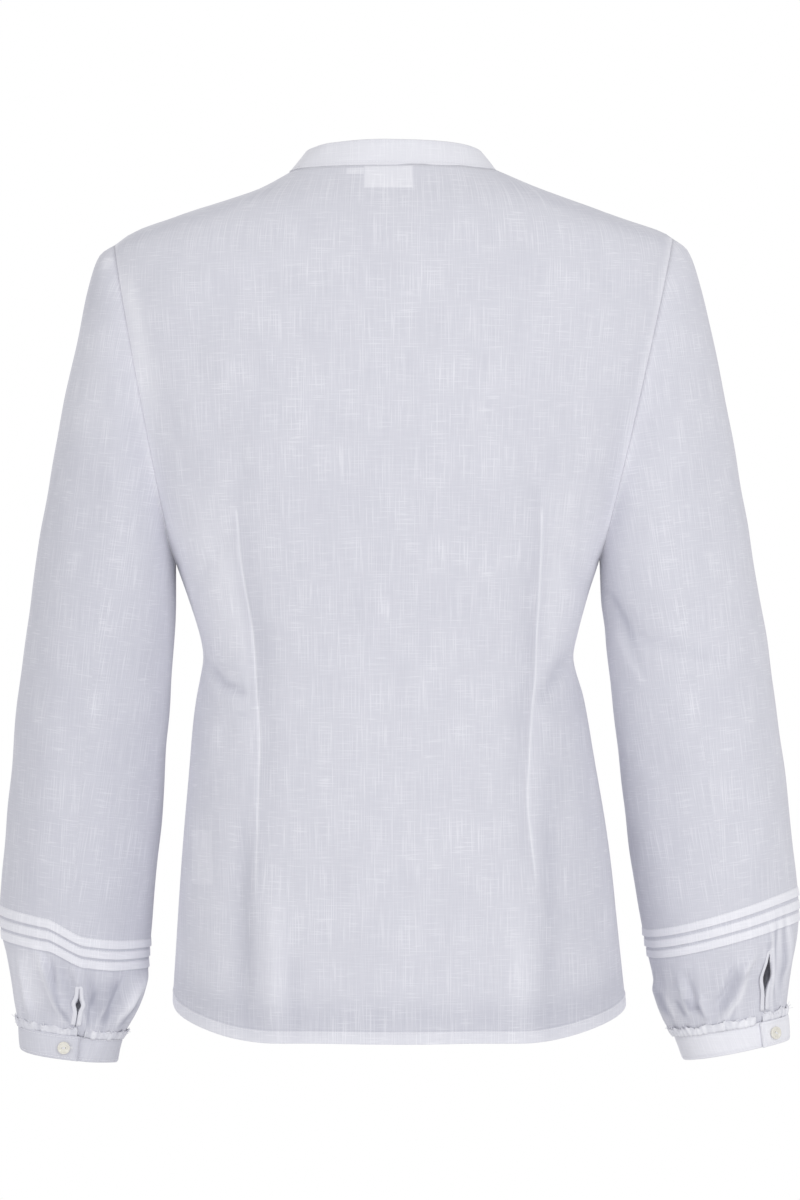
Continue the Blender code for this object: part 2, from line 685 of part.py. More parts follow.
def make_collar():
    reach = 1 + collar_span()

    def face(out):
        def point(column, row):
            place = reach * (2 * column / COLLAR_COLUMNS - 1)
            from_front = (1 - abs(place)) / collar_span()
            lapped = ease((3.0 - from_front) / 2.0) * (BAND + SEAM_GAP) / 2
            lapped *= RIGHT if place > 0 else LEFT
            inside = min(abs(place), 1.0) * (1 if place >= 0 else -1)
            found = collar_point(inside, row / 2, out + lapped)
            if abs(place) > 1:
                found.x -= math.copysign((abs(place) - 1) / collar_span() * OVERLAP, place)
            return found
        return point

    wall("collar_band", COLLAR_COLUMNS, 2, face(0.0), face(-BAND), FOLDED_COTTON)


def make_buttons():
    for number in range(FRONT_BUTTONS):
        drop = mix(FIRST_BUTTON_DROP, LAST_BUTTON_DROP, number / (FRONT_BUTTONS - 1))
        centre, normal = placket_seat(drop)
        disc(f"front_button_{number + 1}", centre + normal * SEAM_GAP, normal, SHELL)
    low, high = collar_point(1.0, 0.35, 0.0), collar_point(1.0, 0.65, 0.0)
    normal = (high - low).cross(Vector((-1, 0, 0))).normalized()
    centre = (low + high) / 2 + normal * ((BAND + SEAM_GAP) / 2 + SEAM_GAP)
    disc("collar_button", centre, normal, SHELL)
    for side in (LEFT, RIGHT):
        turn = cuff_lap_turn(side) - CUFF_LAP * 0.53
        out = BAND + SEAM_GAP * 2.5
        here = cuff_point(side, turn, 0.52, out)
        tangent = cuff_point(side, turn + 0.05, 0.52, out) - cuff_point(side, turn - 0.05, 0.52, out)
        rise = cuff_point(side, turn, 0.2, out) - cuff_point(side, turn, 0.8, out)
        normal = tangent.cross(rise).normalized()
        if normal.dot(here - cuff_point(side, turn, 0.52, 0.0)) < 0:
            normal.negate()
        disc(f"cuff_{SIDE_NAMES[side]}_button", here, normal, SHELL)


def make_labels():
    """The woven neck label, the size tab beside it and the care label at the left side seam."""
    def tape(name, place_at, drops, lift):
        def face(out):
            def point(column, row):
                drop = mix(drops[0], drops[1], row)
                return laid(place_at(column / 2, drop), drop, BACK, -CLOTH - SEAM_GAP - lift + out)
            return point

        wall(name, 2, 1, face(0.0), face(-0.0006), LABEL_TAPE)

    wide, high = NECK_LABEL
    tape("neck_label", lambda t, drop: place_of(mix(-wide / 2, wide / 2, t), drop),
         (0.002, 0.002 + high), 0.0006)
    tab_wide, tab_high = SIZE_TAB
    tab_start = wide / 2 + 0.0008
    tape("size_tab", lambda t, drop: place_of(mix(tab_start, tab_start + tab_wide, t), drop),
         (0.002, 0.002 + tab_high), 0.0006)
    tape("care_label", lambda t, drop: mix(*CARE_LABEL_PLACES, t), CARE_LABEL_DROPS, 0.0010)


def main():
    for old in list(bpy.data.objects):
        bpy.data.objects.remove(old)
    make_back()
    make_placket()
    make_collar()
    for side in (LEFT, RIGHT):
        make_front(side)
        make_sleeve(side)
        make_binding(side)
        make_cuff(side)
        make_frill(side)
    make_buttons()
    make_labels()


main()
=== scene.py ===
"""The looks of a band-collar blouse of white slub cotton, on its CAD frame.

The wearer faces -Y, their left is +X and +Z is up, in metres, with the origin in the middle of
the neck opening. Every panel is a thin shell on the same form as its solid, on a finer grid,
with its main creases laid in as soft troughs and ridges. Heights are written as drops, the
distance below the origin.
"""

import math
from collections import namedtuple

import bmesh
import bpy
import numpy as np
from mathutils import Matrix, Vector


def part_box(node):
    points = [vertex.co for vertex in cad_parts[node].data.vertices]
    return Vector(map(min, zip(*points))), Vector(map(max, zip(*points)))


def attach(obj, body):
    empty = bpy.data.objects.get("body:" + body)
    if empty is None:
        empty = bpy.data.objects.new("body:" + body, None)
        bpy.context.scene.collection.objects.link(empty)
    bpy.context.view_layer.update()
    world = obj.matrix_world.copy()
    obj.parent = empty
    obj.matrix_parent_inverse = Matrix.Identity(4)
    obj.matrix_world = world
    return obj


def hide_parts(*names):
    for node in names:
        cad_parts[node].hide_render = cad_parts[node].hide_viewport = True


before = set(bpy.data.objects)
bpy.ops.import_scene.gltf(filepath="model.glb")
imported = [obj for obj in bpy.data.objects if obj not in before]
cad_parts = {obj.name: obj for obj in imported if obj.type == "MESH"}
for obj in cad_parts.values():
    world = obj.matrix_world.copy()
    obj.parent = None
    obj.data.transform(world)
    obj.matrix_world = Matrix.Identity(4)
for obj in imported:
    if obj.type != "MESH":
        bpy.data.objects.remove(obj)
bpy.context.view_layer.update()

LEFT, RIGHT = 1, -1  # the wearer's sides, as the sign of X
BACK, FRONT = 1, -1  # as the sign of Y
SIDE_NAMES = {LEFT: "left", RIGHT: "right"}

# ---- cloth -------------------------------------------------------------------------------
Cloth = namedtuple("Cloth", "material slot thread")  # and the slot and thread that go with it
VOILE = 0.0008  # the shell of a single layer
BAND = 0.0020  # a folded and pressed band
BAND_ROUND = 0.0008  # how far in a band's edges are rounded
# A band's rows, as shares of its height, closer together at its edges and their stitches.
BAND_ROWS = np.array([
    0.01, 0.04, 0.07, 0.105, 0.14, 0.20, 0.35, 0.5, 0.65, 0.80, 0.86, 0.895, 0.93, 0.96, 1.0,
])
SEAM_GAP = 0.00015  # on each side of a seam
PANEL_EDGE = 1 - SEAM_GAP / 0.2  # the last place on a body panel, about 0.2 m from its middle
LAP_STEP = 0.0018  # from the right front's cloth to the left front's under it
STITCH_PITCH, STITCH_LONG = 0.0024, 0.0019
THREAD_WIDE, THREAD_HIGH = 0.00035, 0.0003
HOLE_LONG, HOLE_PITCH = 0.013, 0.0004
BUTTON_RADIUS, BUTTON_THICK = 0.00475, 0.0020
RIM_ROUND, RIM_WIDE, DISH_SLOPE, DISH_DEEP = 0.0005, 0.0009, 0.0006, 0.0006
EYE_APART, EYE_RADIUS = 0.0022, 0.0005  # the two holes that the button is sewn on through
RIPPLE = 0.0003  # how high the cloth's fine unevenness stands
# Voile's yarns lie about 0.35 mm apart, too fine to be seen from here, so they are drawn 1 mm wide.
YARN_WIDE = 0.0010
WARP_SLUB, WEFT_SLUB = 0.034, 0.022  # how long the thick places run
CLOUD_SIZE = (0.030, 0.042)  # how far apart the cloth is denser
SIDE_STRETCH = 0.8  # how much more cloth lies round a side, for the depth it covers
COTTON_COLOURS, PRESSED_COLOURS = ("b4b5c2", "f2f2f8"), ("b4b5c2", "f6f6fb")
SHELL_BANDS = 420.0  # growth bands to the metre, 2.4 mm apart
# Labels and a tape seen through the back: (place, size, angle, how much lighter).
LABEL_PATCHES = (
    ((0.0032, -0.0100), (0.0363, 0.0178), 0.0, 0.30),
    ((0.0281, -0.0052), (0.0130, 0.0052), 0.0, 0.20),
    ((0.1420, -0.516), (0.0165, 0.040), 0.03, 0.12),
)

# ---- the body's form ---------------------------------------------------------------------
# Lines of (drop, distance): X from the centre, or for DEPTH the distance along Y.
SHOULDER_LINE = {
    LEFT: (
        (0.0, 0.078), (0.009, 0.094), (0.018, 0.112), (0.027, 0.138),
        (0.037, 0.174), (0.046, 0.198), (0.055, 0.211),
    ),
    RIGHT: (
        (0.0, 0.079), (0.009, 0.101), (0.018, 0.124), (0.027, 0.151),
        (0.037, 0.180), (0.045, 0.204), (0.050, 0.212),
    ),
}
SIDE_SEAM = {
    LEFT: (
        (0.297, 0.165), (0.325, 0.155), (0.355, 0.1455), (0.371, 0.144),
        (0.400, 0.149), (0.447, 0.154), (0.508, 0.159), (0.626, 0.167),
    ),
    RIGHT: (
        (0.294, 0.157), (0.325, 0.147), (0.355, 0.139), (0.371, 0.137),
        (0.400, 0.145), (0.447, 0.153), (0.508, 0.163), (0.628, 0.176),
    ),
}
DEPTH = {
    BACK: (
        (0.0, 0.058), (0.030, 0.079), (0.060, 0.093), (0.110, 0.107), (0.170, 0.116), (0.250, 0.112),
        (0.310, 0.104), (0.371, 0.096), (0.450, 0.112), (0.550, 0.132), (0.643, 0.142),
    ),
    FRONT: (
        (0.0, 0.050), (0.030, 0.058), (0.060, 0.071), (0.110, 0.095), (0.170, 0.117), (0.250, 0.130),
        (0.310, 0.122), (0.371, 0.108), (0.450, 0.114), (0.550, 0.124), (0.643, 0.130),
    ),
}
FULLNESS = 0.82  # below 1, so that the body is squarer than an oval
ARMHOLE_DEPTH = 0.058
ARMHOLE_TURN = math.radians(25)  # how far short of the side a panel stops at the armhole
EVEN_REACH = 0.032
FRONT_NECK_DROP = 0.068
HEM_DROP = {BACK: 0.647, FRONT: 0.643}
HEM_LOBE = 0.004  # how much lower the hem hangs under each dart
HEM_HIGH, HEM_STITCH = 0.009, 0.008
PANEL_SKIRT = 0.34  # from the underarm to the hem, down the cloth
DART_COLUMN = 0.5  # the column of the back's grid that runs along a dart
# Each dart's line: (drop, distance from the centre).
DART_LINE = {
    LEFT: (
        (0.250, 0.1160), (0.296, 0.1124), (0.343, 0.1051), (0.395, 0.1007),
        (0.424, 0.0988), (0.472, 0.0995), (0.515, 0.1007), (0.543, 0.1010),
    ),
    RIGHT: (
        (0.250, 0.1105), (0.296, 0.1091), (0.343, 0.1073), (0.385, 0.1062),
        (0.412, 0.1033), (0.440, 0.1011), (0.472, 0.0994), (0.519, 0.1040), (0.543, 0.1045),
    ),
}
DART_TOP, DART_WAIST, DART_END = 0.250, 0.390, 0.543
DART_DEEP = 0.0035
OVERLAP, LAP_FADE = 0.0125, 0.030  # how far the fronts pass the centre, and where their step ends
PLACKET_WIDE, PLACKET_THICK = 0.024, 0.001

# ---- the sleeves' form -------------------------------------------------------------------
# The sleeve's edges, as (X, drop) points from the shoulder to the cuff.
OUTER_LINE = {
    LEFT: (
        (0.211, 0.055), (0.223, 0.063), (0.231, 0.086), (0.240, 0.128), (0.250, 0.173),
        (0.262, 0.240), (0.275, 0.325), (0.287, 0.416), (0.295, 0.508), (0.299, 0.553),
        (0.298, 0.578), (0.291, 0.616), (0.286, 0.648),
    ),
    RIGHT: (
        (0.212, 0.050), (0.224, 0.060), (0.233, 0.086), (0.243, 0.128), (0.252, 0.173),
        (0.265, 0.240), (0.280, 0.325), (0.293, 0.416), (0.304, 0.508), (0.309, 0.553),
        (0.308, 0.578), (0.302, 0.616), (0.300, 0.640),
    ),
}
INNER_LINE = {
    LEFT: (
        (0.165, 0.297), (0.165, 0.325), (0.167, 0.360), (0.172, 0.432), (0.179, 0.523),
        (0.184, 0.569), (0.190, 0.620), (0.197, 0.642), (0.206, 0.658),
    ),
    RIGHT: (
        (0.157, 0.294), (0.158, 0.325), (0.162, 0.356), (0.170, 0.432), (0.181, 0.523),
        (0.189, 0.569), (0.200, 0.620), (0.206, 0.642), (0.213, 0.656),
    ),
}
INNER_PACE = 1.5  # the inner edge is passed slowly at first, because the head slants
SLEEVE_LONG = 0.60
SLEEVE_RADIUS, CUFF_RADIUS = 0.060, 0.036
SLEEVE_LEAN = math.radians(7)
# (share of the sleeve's length, half depth along Y), and how far it hangs forward.
SLEEVE_DEPTH = (
    (0.0, ARMHOLE_DEPTH), (0.15, 0.066), (0.35, 0.064), (0.60, 0.061), (0.82, 0.061),
    (0.92, 0.050), (1.0, 0.033),
)
SLEEVE_FORWARD = ((0.0, 0.0), (0.5, 0.004), (1.0, 0.012))
TUCK_FOOTS = {LEFT: (0.860, 0.8755, 0.891), RIGHT: (0.850, 0.866, 0.8815)}
TUCK_LONG, TUCK_PROUD = 0.0065, 0.0012
# The tucks don't run quite level: (turn in degrees, how far they sink as a share of the sleeve).
TUCK_SWAY = {
    LEFT: (
        (0, 0.0), (50, -0.002), (68, -0.003), (76, -0.003), (98, 0.0095), (106, 0.010), (125, 0.008),
        (160, 0.002), (250, 0.0), (360, 0.0),
    ),
    RIGHT: ((0, 0.0), (40, -0.002), (75, 0.000), (130, 0.003), (180, 0.001), (360, 0.0)),
}
SLIT_TURN = {LEFT: math.radians(97), RIGHT: math.radians(56)}
SLIT_TOP = {LEFT: 0.932, RIGHT: 0.910}
# How far each slit's edges are drawn aside at the most, and over what share of its length.
SLIT_WIDE = {LEFT: 0.0018, RIGHT: 0.0032}
SLIT_SPREAD = {LEFT: 0.11, RIGHT: 0.17}
BINDING_WIDE = 0.005
CUFF_HIGH = 0.019
CUFF_START = {side: turn + math.radians(7) for side, turn in SLIT_TURN.items()}
CUFF_LAP = math.radians(30)
# How much nearer the body a cuff's lower edge lies than its upper one: (outer side, inner side).
CUFF_FOOT_SHIFT = {LEFT: (0.001, -0.004), RIGHT: (-0.001, -0.008)}
FRILL_HIGH = 0.006
COLLAR_HIGH = 0.020
COLLAR_LEAN = {"back": math.radians(14), "side": math.radians(38), "front": math.radians(22)}

# ---- folds -------------------------------------------------------------------------------
# Each fold is (half width, height, points): a ridge, or a trough if the height is below 0,
# along the points, which are (X, Z) as the side it lies on is looked at square.
BACK_FOLDS = (
    (0.0050, -0.0030, ((0.142, -0.367), (0.128, -0.386), (0.112, -0.392), (0.102, -0.390))),
    (0.0060, 0.0016, ((0.143, -0.381), (0.128, -0.398), (0.110, -0.401))),
    (0.0035, -0.0012, ((0.103, -0.407), (0.116, -0.410))),
    (0.0040, -0.0010, ((0.117, -0.425), (0.132, -0.418))),
    (0.0060, -0.0030, ((-0.136, -0.361), (-0.121, -0.383), (-0.104, -0.407))),
    (0.0060, 0.0014, ((-0.137, -0.378), (-0.120, -0.396), (-0.106, -0.416))),
    (0.0045, -0.0012, ((-0.132, -0.391), (-0.112, -0.409))),
    (0.0130, 0.0022, ((0.100, -0.515), (0.096, -0.566), (0.098, -0.645))),
    (0.0110, -0.0016, ((0.116, -0.508), (0.121, -0.640))),
    (0.0130, 0.0022, ((-0.102, -0.519), (-0.099, -0.573), (-0.102, -0.647))),
    (0.0110, -0.0016, ((-0.119, -0.515), (-0.124, -0.640))),
    (0.0180, -0.0012, ((0.046, -0.486), (0.041, -0.647))),
    (0.0080, -0.0026, ((0.1080, -0.464), (0.1117, -0.544), (0.1080, -0.617), (0.1044, -0.652))),
    (0.0080, 0.0024, ((0.0861, -0.530), (0.0839, -0.652))),
    (0.0180, 0.0010, ((-0.035, -0.500), (-0.028, -0.647))),
    (0.0090, -0.0012, ((0.114, -0.256), (0.109, -0.193))),
    (0.0090, -0.0012, ((-0.110, -0.278), (-0.105, -0.215))),
    (0.0070, -0.0022, ((0.153, -0.325), (0.137, -0.296), (0.117, -0.272))),
    (0.0070, -0.0022, ((-0.150, -0.325), (-0.135, -0.299), (-0.119, -0.278))),
    (0.0140, -0.0015, ((0.160, -0.106), (0.134, -0.179), (0.117, -0.237))),
    (0.0140, -0.0015, ((-0.162, -0.106), (-0.135, -0.179), (-0.116, -0.245))),
    (0.0100, 0.0010, ((0.060, -0.060), (0.110, -0.075), (0.170, -0.100))),
    (0.0100, 0.0010, ((-0.060, -0.060), (-0.110, -0.075), (-0.170, -0.100))),
)
FRONT_FOLDS = (
    (0.0060, -0.0024, ((0.148, -0.330), (0.120, -0.300), (0.085, -0.280))),
    (0.0060, -0.0024, ((-0.145, -0.330), (-0.118, -0.302), (-0.080, -0.284))),
    (0.0070, -0.0020, ((0.140, -0.372), (0.110, -0.385), (0.070, -0.384))),
    (0.0070, -0.0020, ((-0.134, -0.370), (-0.105, -0.384), (-0.066, -0.386))),
    (0.0140, 0.0022, ((0.075, -0.420), (0.085, -0.520), (0.090, -0.640))),
    (0.0140, 0.0022, ((-0.078, -0.420), (-0.088, -0.520), (-0.095, -0.640))),
    (0.0130, -0.0018, ((0.105, -0.430), (0.118, -0.640))),
    (0.0130, -0.0018, ((-0.108, -0.430), (-0.122, -0.640))),
    (0.0110, -0.0016, ((0.060, -0.075), (0.110, -0.110), (0.150, -0.170))),
    (0.0110, -0.0016, ((-0.060, -0.075), (-0.110, -0.110), (-0.150, -0.170))),
)
SLEEVE_FOLDS = {
    LEFT: (
        (0.0050, -0.0026, ((0.170, -0.262), (0.172, -0.295), (0.166, -0.334))),
        (0.0030, 0.0012, ((0.221, -0.068), (0.209, -0.071))),
        (0.0140, -0.0018, ((0.215, -0.124), (0.224, -0.221), (0.229, -0.325))),
        (0.0120, -0.0016, ((0.197, -0.325), (0.205, -0.444), (0.211, -0.534))),
        (0.0130, 0.0016, ((0.248, -0.355), (0.259, -0.474), (0.263, -0.541))),
        (0.0034, 0.0028, (
            (0.270, -0.582), (0.264, -0.594), (0.258, -0.613), (0.253, -0.630), (0.244, -0.644),
        )),
        (0.0028, -0.0018, ((0.263, -0.586), (0.257, -0.600), (0.251, -0.618), (0.246, -0.632))),
        (0.0030, 0.0024, ((0.253, -0.600), (0.250, -0.625), (0.241, -0.642))),
        (0.0030, 0.0018, ((0.241, -0.595), (0.235, -0.620))),
        (0.0030, -0.0022, ((0.228, -0.590), (0.226, -0.640))),
        (0.0036, 0.0028, ((0.186, -0.601), (0.196, -0.621), (0.208, -0.644))),
        (0.0030, -0.0020, ((0.196, -0.598), (0.206, -0.622), (0.216, -0.642))),
        (0.0034, 0.0020, ((0.210, -0.596), (0.215, -0.618), (0.221, -0.642))),
        (0.0030, 0.0016, ((0.284, -0.590), (0.277, -0.625), (0.272, -0.642))),
    ),
    RIGHT: (
        (0.0055, -0.0026, ((-0.160, -0.292), (-0.164, -0.330), (-0.160, -0.362))),
        (0.0070, -0.0016, ((-0.158, -0.318), (-0.184, -0.355), (-0.229, -0.366), (-0.262, -0.370))),
        (0.0150, -0.0018, ((-0.221, -0.124), (-0.240, -0.250), (-0.244, -0.340))),
        (0.0120, -0.0016, ((-0.199, -0.400), (-0.208, -0.474), (-0.214, -0.549))),
        (0.0120, 0.0016, ((-0.259, -0.385), (-0.274, -0.474), (-0.279, -0.534))),
        (0.0034, 0.0026, ((-0.273, -0.588), (-0.258, -0.612))),
        (0.0030, 0.0026, ((-0.266, -0.600), (-0.259, -0.622), (-0.246, -0.642))),
        (0.0028, -0.0018, ((-0.259, -0.594), (-0.252, -0.616), (-0.241, -0.634))),
        (0.0034, 0.0022, ((-0.283, -0.570), (-0.286, -0.626))),
        (0.0030, -0.0016, ((-0.289, -0.570), (-0.290, -0.626))),
        (0.0034, 0.0020, ((-0.301, -0.563), (-0.295, -0.612))),
        (0.0030, 0.0022, ((-0.199, -0.612), (-0.209, -0.644))),
        (0.0030, 0.0022, ((-0.214, -0.606), (-0.227, -0.643))),
        (0.0026, -0.0016, ((-0.221, -0.610), (-0.233, -0.642))),
        (0.0028, 0.0018, ((-0.229, -0.622), (-0.239, -0.644))),
    ),
}

# ---- lighter and darker places -----------------------------------------------------------
# Doubled cloth, seam allowances seen through the cloth, painted shade in a fold and painted
# highlights on its ridges, as (half width, tone, points). Tone 1 is the brightest cloth and -1 the darkest.
BACK_TONES = (
    (0.0032, -0.42, ((0.140, -0.369), (0.128, -0.386), (0.112, -0.393), (0.104, -0.391))),
    (0.0048, -0.36, ((-0.134, -0.363), (-0.121, -0.383), (-0.106, -0.405))),
    (0.0030, 0.30, ((0.143, -0.361), (0.130, -0.378), (0.112, -0.386))),
    (0.0022, -0.20, ((0.103, -0.407), (0.118, -0.412))),
    (0.0020, 0.40, ((0.1205, -0.2585), (0.1150, -0.2585))),
    (0.0085, -0.34, ((0.1080, -0.464), (0.1117, -0.544), (0.1080, -0.617), (0.1044, -0.652))),
    (0.0070, 0.24, ((0.0861, -0.530), (0.0839, -0.652))),
    (0.0050, -0.16, ((0.0715, -0.575), (0.0700, -0.652))),
    (0.0085, -0.24, ((-0.1120, -0.440), (-0.1150, -0.520), (-0.1130, -0.600), (-0.1100, -0.650))),
    (0.0070, 0.18, ((-0.0900, -0.540), (-0.0930, -0.650))),
    (0.0060, -0.07, ((0.153, -0.325), (0.137, -0.296), (0.122, -0.278))),
    (0.0060, -0.07, ((-0.150, -0.325), (-0.135, -0.299), (-0.124, -0.284))),
)
SLEEVE_TONES = {
    LEFT: (
        (0.0055, -0.40, ((0.2525, -0.590), (0.2435, -0.617), (0.2331, -0.644))),
        (0.0020, 0.75, ((0.2704, -0.583), (0.2540, -0.629), (0.2435, -0.650))),
        (0.0160, 0.46, ((0.2790, -0.580), (0.2700, -0.640))),
        (0.0300, 0.20, ((0.222, -0.100), (0.232, -0.220))),
        (0.0050, 0.45, ((0.219, -0.076), (0.211, -0.066))),
        (0.0095, -0.60, ((0.2232, -0.652), (0.2137, -0.606))),
        (0.0030, 0.95, ((0.1854, -0.600), (0.2003, -0.629), (0.2182, -0.655))),
        (0.0020, -0.83, ((0.1945, -0.628), (0.2100, -0.652))),
        (0.0020, -0.68, ((0.2048, -0.606), (0.2204, -0.650))),
        (0.0018, 0.52, ((0.2130, -0.622), (0.2225, -0.650))),
        (0.0018, -0.60, ((0.2570, -0.600), (0.2500, -0.632), (0.2400, -0.650))),
        (0.0016, 0.45, ((0.2360, -0.624), (0.2310, -0.650))),
        (0.0016, -0.60, ((0.2286, -0.6305), (0.2316, -0.6498))),
        (0.0015, -0.55, ((0.2227, -0.6170), (0.2286, -0.6349))),
        (0.0018, -0.70, ((0.2122, -0.6230), (0.2227, -0.6468))),
        (0.0018, -0.60, ((0.2033, -0.6290), (0.2152, -0.6513))),
        (0.0014, 0.60, ((0.2167, -0.6290), (0.2256, -0.6498))),
        (0.0022, -0.50, ((0.2665, -0.592), (0.2510, -0.633), (0.2420, -0.650))),
    ),
    RIGHT: (
        (0.0045, -0.14, ((-0.158, -0.318), (-0.184, -0.355), (-0.229, -0.366), (-0.262, -0.370))),
        (0.0025, -0.52, ((-0.1580, -0.314), (-0.1729, -0.340), (-0.1841, -0.370))),
        (0.0030, 0.33, ((-0.1655, -0.344), (-0.1767, -0.370), (-0.1916, -0.392))),
        (0.0160, -0.12, ((-0.195, -0.604), (-0.255, -0.623))),
        (0.0018, 0.45, ((-0.2728, -0.591), (-0.2623, -0.607))),
        (0.0026, 0.90, ((-0.2675, -0.604), (-0.2601, -0.626), (-0.2467, -0.646))),
        (0.0040, -0.45, ((-0.2646, -0.598), (-0.2526, -0.624), (-0.2407, -0.642))),
        (0.0016, -0.60, ((-0.2812, -0.566), (-0.2830, -0.600), (-0.2800, -0.640))),
        (0.0018, 0.60, ((-0.2847, -0.566), (-0.2862, -0.638))),
        (0.0015, -0.75, ((-0.2880, -0.560), (-0.2892, -0.632))),
        (0.0016, 0.55, ((-0.2912, -0.560), (-0.2918, -0.630))),
        (0.0014, -0.60, ((-0.2945, -0.556), (-0.2940, -0.625))),
        (0.0015, 0.50, ((-0.2975, -0.556), (-0.2962, -0.620))),
        (0.0014, -0.45, ((-0.2600, -0.628), (-0.2540, -0.644))),
        (0.0014, 0.50, ((-0.2170, -0.618), (-0.2250, -0.642))),
        (0.0014, 0.50, ((-0.2060, -0.622), (-0.2140, -0.645))),
        (0.0014, -0.50, ((-0.1960, -0.610), (-0.2030, -0.646))),
        (0.0016, -0.90, ((-0.2020, -0.617), (-0.2109, -0.644))),
        (0.0016, -0.90, ((-0.2124, -0.626), (-0.2214, -0.642))),
        (0.0016, -0.75, ((-0.2199, -0.623), (-0.2273, -0.638))),
        (0.0016, -0.75, ((-0.2258, -0.629), (-0.2363, -0.641))),
    ),
}
# Painted light and shade: the left cuff painted darker and the right one lighter, on top of the doubled
# band's brightness; painted shade over the sleeves, most on the left; painted light lifting the shade in the
# valley between each sleeve and the body.
CUFF_TONES = {LEFT: -0.14, RIGHT: 0.62}
SLEEVE_PAINTED_SHADE = {LEFT: -0.20, RIGHT: -0.02}
VALLEY_PAINTED_LIGHT = {LEFT: 0.30, RIGHT: 0.42}

# ---- light and camera --------------------------------------------------------------------
AMBIENT = 0.675  # how bright the white room is as light, against 1 as it is seen
LAMPS = (  # (name, place, power in watts, width)
    ("key", (-1.6, 2.6, 0.6), 27, 1.6),
    ("fill", (2.2, 2.2, 0.1), 13, 1.6),
    ("front", (0.8, -2.8, 0.6), 23, 1.8),
)
LAMP_AIM = Vector((0, 0, -0.32))
FLOOR_DROP = 1.42
LENS = 118.4  # mm
CAMERA_AT = (-0.0053, 3.0, -0.325)


# ---- small tools -------------------------------------------------------------------------
def smooth(points, at):
    """Values on a smooth line through (place, value) points."""
    x, y = np.array(points, float).T
    at = np.clip(at, x[0], x[-1])
    i = np.clip(np.searchsorted(x, at, side="right") - 1, 0, len(x) - 2)
    slope = np.empty_like(y)
    slope[1:-1] = (y[2:] - y[:-2]) / (x[2:] - x[:-2])
    slope[0] = (y[1] - y[0]) / (x[1] - x[0])
    slope[-1] = (y[-1] - y[-2]) / (x[-1] - x[-2])
    wide = x[i + 1] - x[i]
    t = (at - x[i]) / wide
    return (
        (2 * t**3 - 3 * t**2 + 1) * y[i]
        + (t**3 - 2 * t**2 + t) * wide * slope[i]
        + (3 * t**2 - 2 * t**3) * y[i + 1]
        + (t**3 - t**2) * wide * slope[i + 1]
    )


def along(line, share):
    """Points at shares of a line's length, as (first values, second values)."""
    line = np.array(line)
    steps = np.linalg.norm(np.diff(line, axis=0), axis=1)
    shares = np.concatenate([[0.0], np.cumsum(steps)]) / steps.sum()
    return smooth(list(zip(shares, line[:, 0])), share), smooth(list(zip(shares, line[:, 1])), share)


def ease(t):
    """0 up to 0 and 1 from 1 on, with a soft step between."""
    t = np.clip(t, 0.0, 1.0)
    return t * t * (3 - 2 * t)


def mix(a, b, t):
    return a + (b - a) * t


def bell(away, wide):
    """1 where away is 0, falling off to both sides about this wide."""
    return np.exp(-((away / wide) ** 2))


def stroke(x, z, half_width, points):
    """1 on a line through (X, Z) points, falling off to its sides and softly at its ends."""
    found = np.zeros(x.shape)
    points = np.array(points)
    lengths = np.linalg.norm(np.diff(points, axis=0), axis=1)
    passed = 0.0
    for a, b, length in zip(points, points[1:], lengths):
        t = ((x - a[0]) * (b[0] - a[0]) + (z - a[1]) * (b[1] - a[1])) / length**2
        t = np.clip(t, 0, 1)
        away = np.hypot(x - mix(a[0], b[0], t), z - mix(a[1], b[1], t))
        share = (passed + t * length) / lengths.sum()
        taper = ease(share / 0.3) * ease((1 - share) / 0.3) * 0.85 + 0.15
        found = np.maximum(found, bell(away, half_width) * taper)
        passed += length
    return found


def strokes(points, table):
    """The heights or tones of all the strokes of a table, added up."""
    total = np.zeros(points.shape[:-1])
    for half_width, height, line in table:
        total += height * stroke(points[..., 0], points[..., 2], half_width, line)
    return total


def soft_noise(points, size, seed):
    """Smooth uneven heights between about -1 and 1, with bumps of about this size."""
    chance = np.random.default_rng(seed)
    total = np.zeros(points.shape[:-1])
    for _ in range(14):
        way = chance.normal(size=3)
        way *= 2 * math.pi / (size * 2 * chance.uniform(0.7, 1.6) * np.linalg.norm(way))
        total += np.sin(points @ way + chance.uniform(0, 2 * math.pi))
    return total / math.sqrt(14)


def normals(points, sign):
    """The outward directions of a grid of points."""
    across = np.gradient(points, axis=1)
    down = np.gradient(points, axis=0)
    found = np.cross(across, down) * sign
    length = np.linalg.norm(found, axis=-1, keepdims=True)
    return found / np.maximum(length, 1e-12)


# ---- body form ---------------------------------------------------------------------------
def section_edge(side, drop):
    """The X of a panel's edge at a drop, and how deep in the armhole that is, from 0 to 1."""
    top_drop, top_x = SHOULDER_LINE[side][-1]
    low_drop, low_x = SIDE_SEAM[side][0]
    up = np.clip(((top_drop + low_drop) / 2 - drop) / ((low_drop - top_drop) / 2), -1, 1)
    out = np.sqrt(1 - up * up)
    x = (top_x + low_x) / 2 + (top_x - low_x) / 2 * up
    x = np.where(drop <= top_drop, smooth(SHOULDER_LINE[side], drop), x)
    x = np.where(drop >= low_drop, smooth(SIDE_SEAM[side], drop), x)
    return np.stack([x, out])


def felt_edge(side, drop):
    """The edge as the inside of a panel feels it: evened out over a short way up and down."""
    reach = np.minimum(EVEN_REACH, drop)
    steps = ((-0.8, 1 / 9), (-0.4, 2 / 9), (0, 3 / 9), (0.4, 2 / 9), (0.8, 1 / 9))
    return sum(share * section_edge(side, drop + reach * step) for step, share in steps)


def either(is_left, form, drop):
    """A form's values, taken for the side that each point is on."""
    return np.where(is_left, form(LEFT, drop), form(RIGHT, drop))


def dart_x(is_left, drop):
    """The distance of the dart's line from the centre."""
    return either(is_left, lambda side, at: smooth(DART_LINE[side], at), drop)


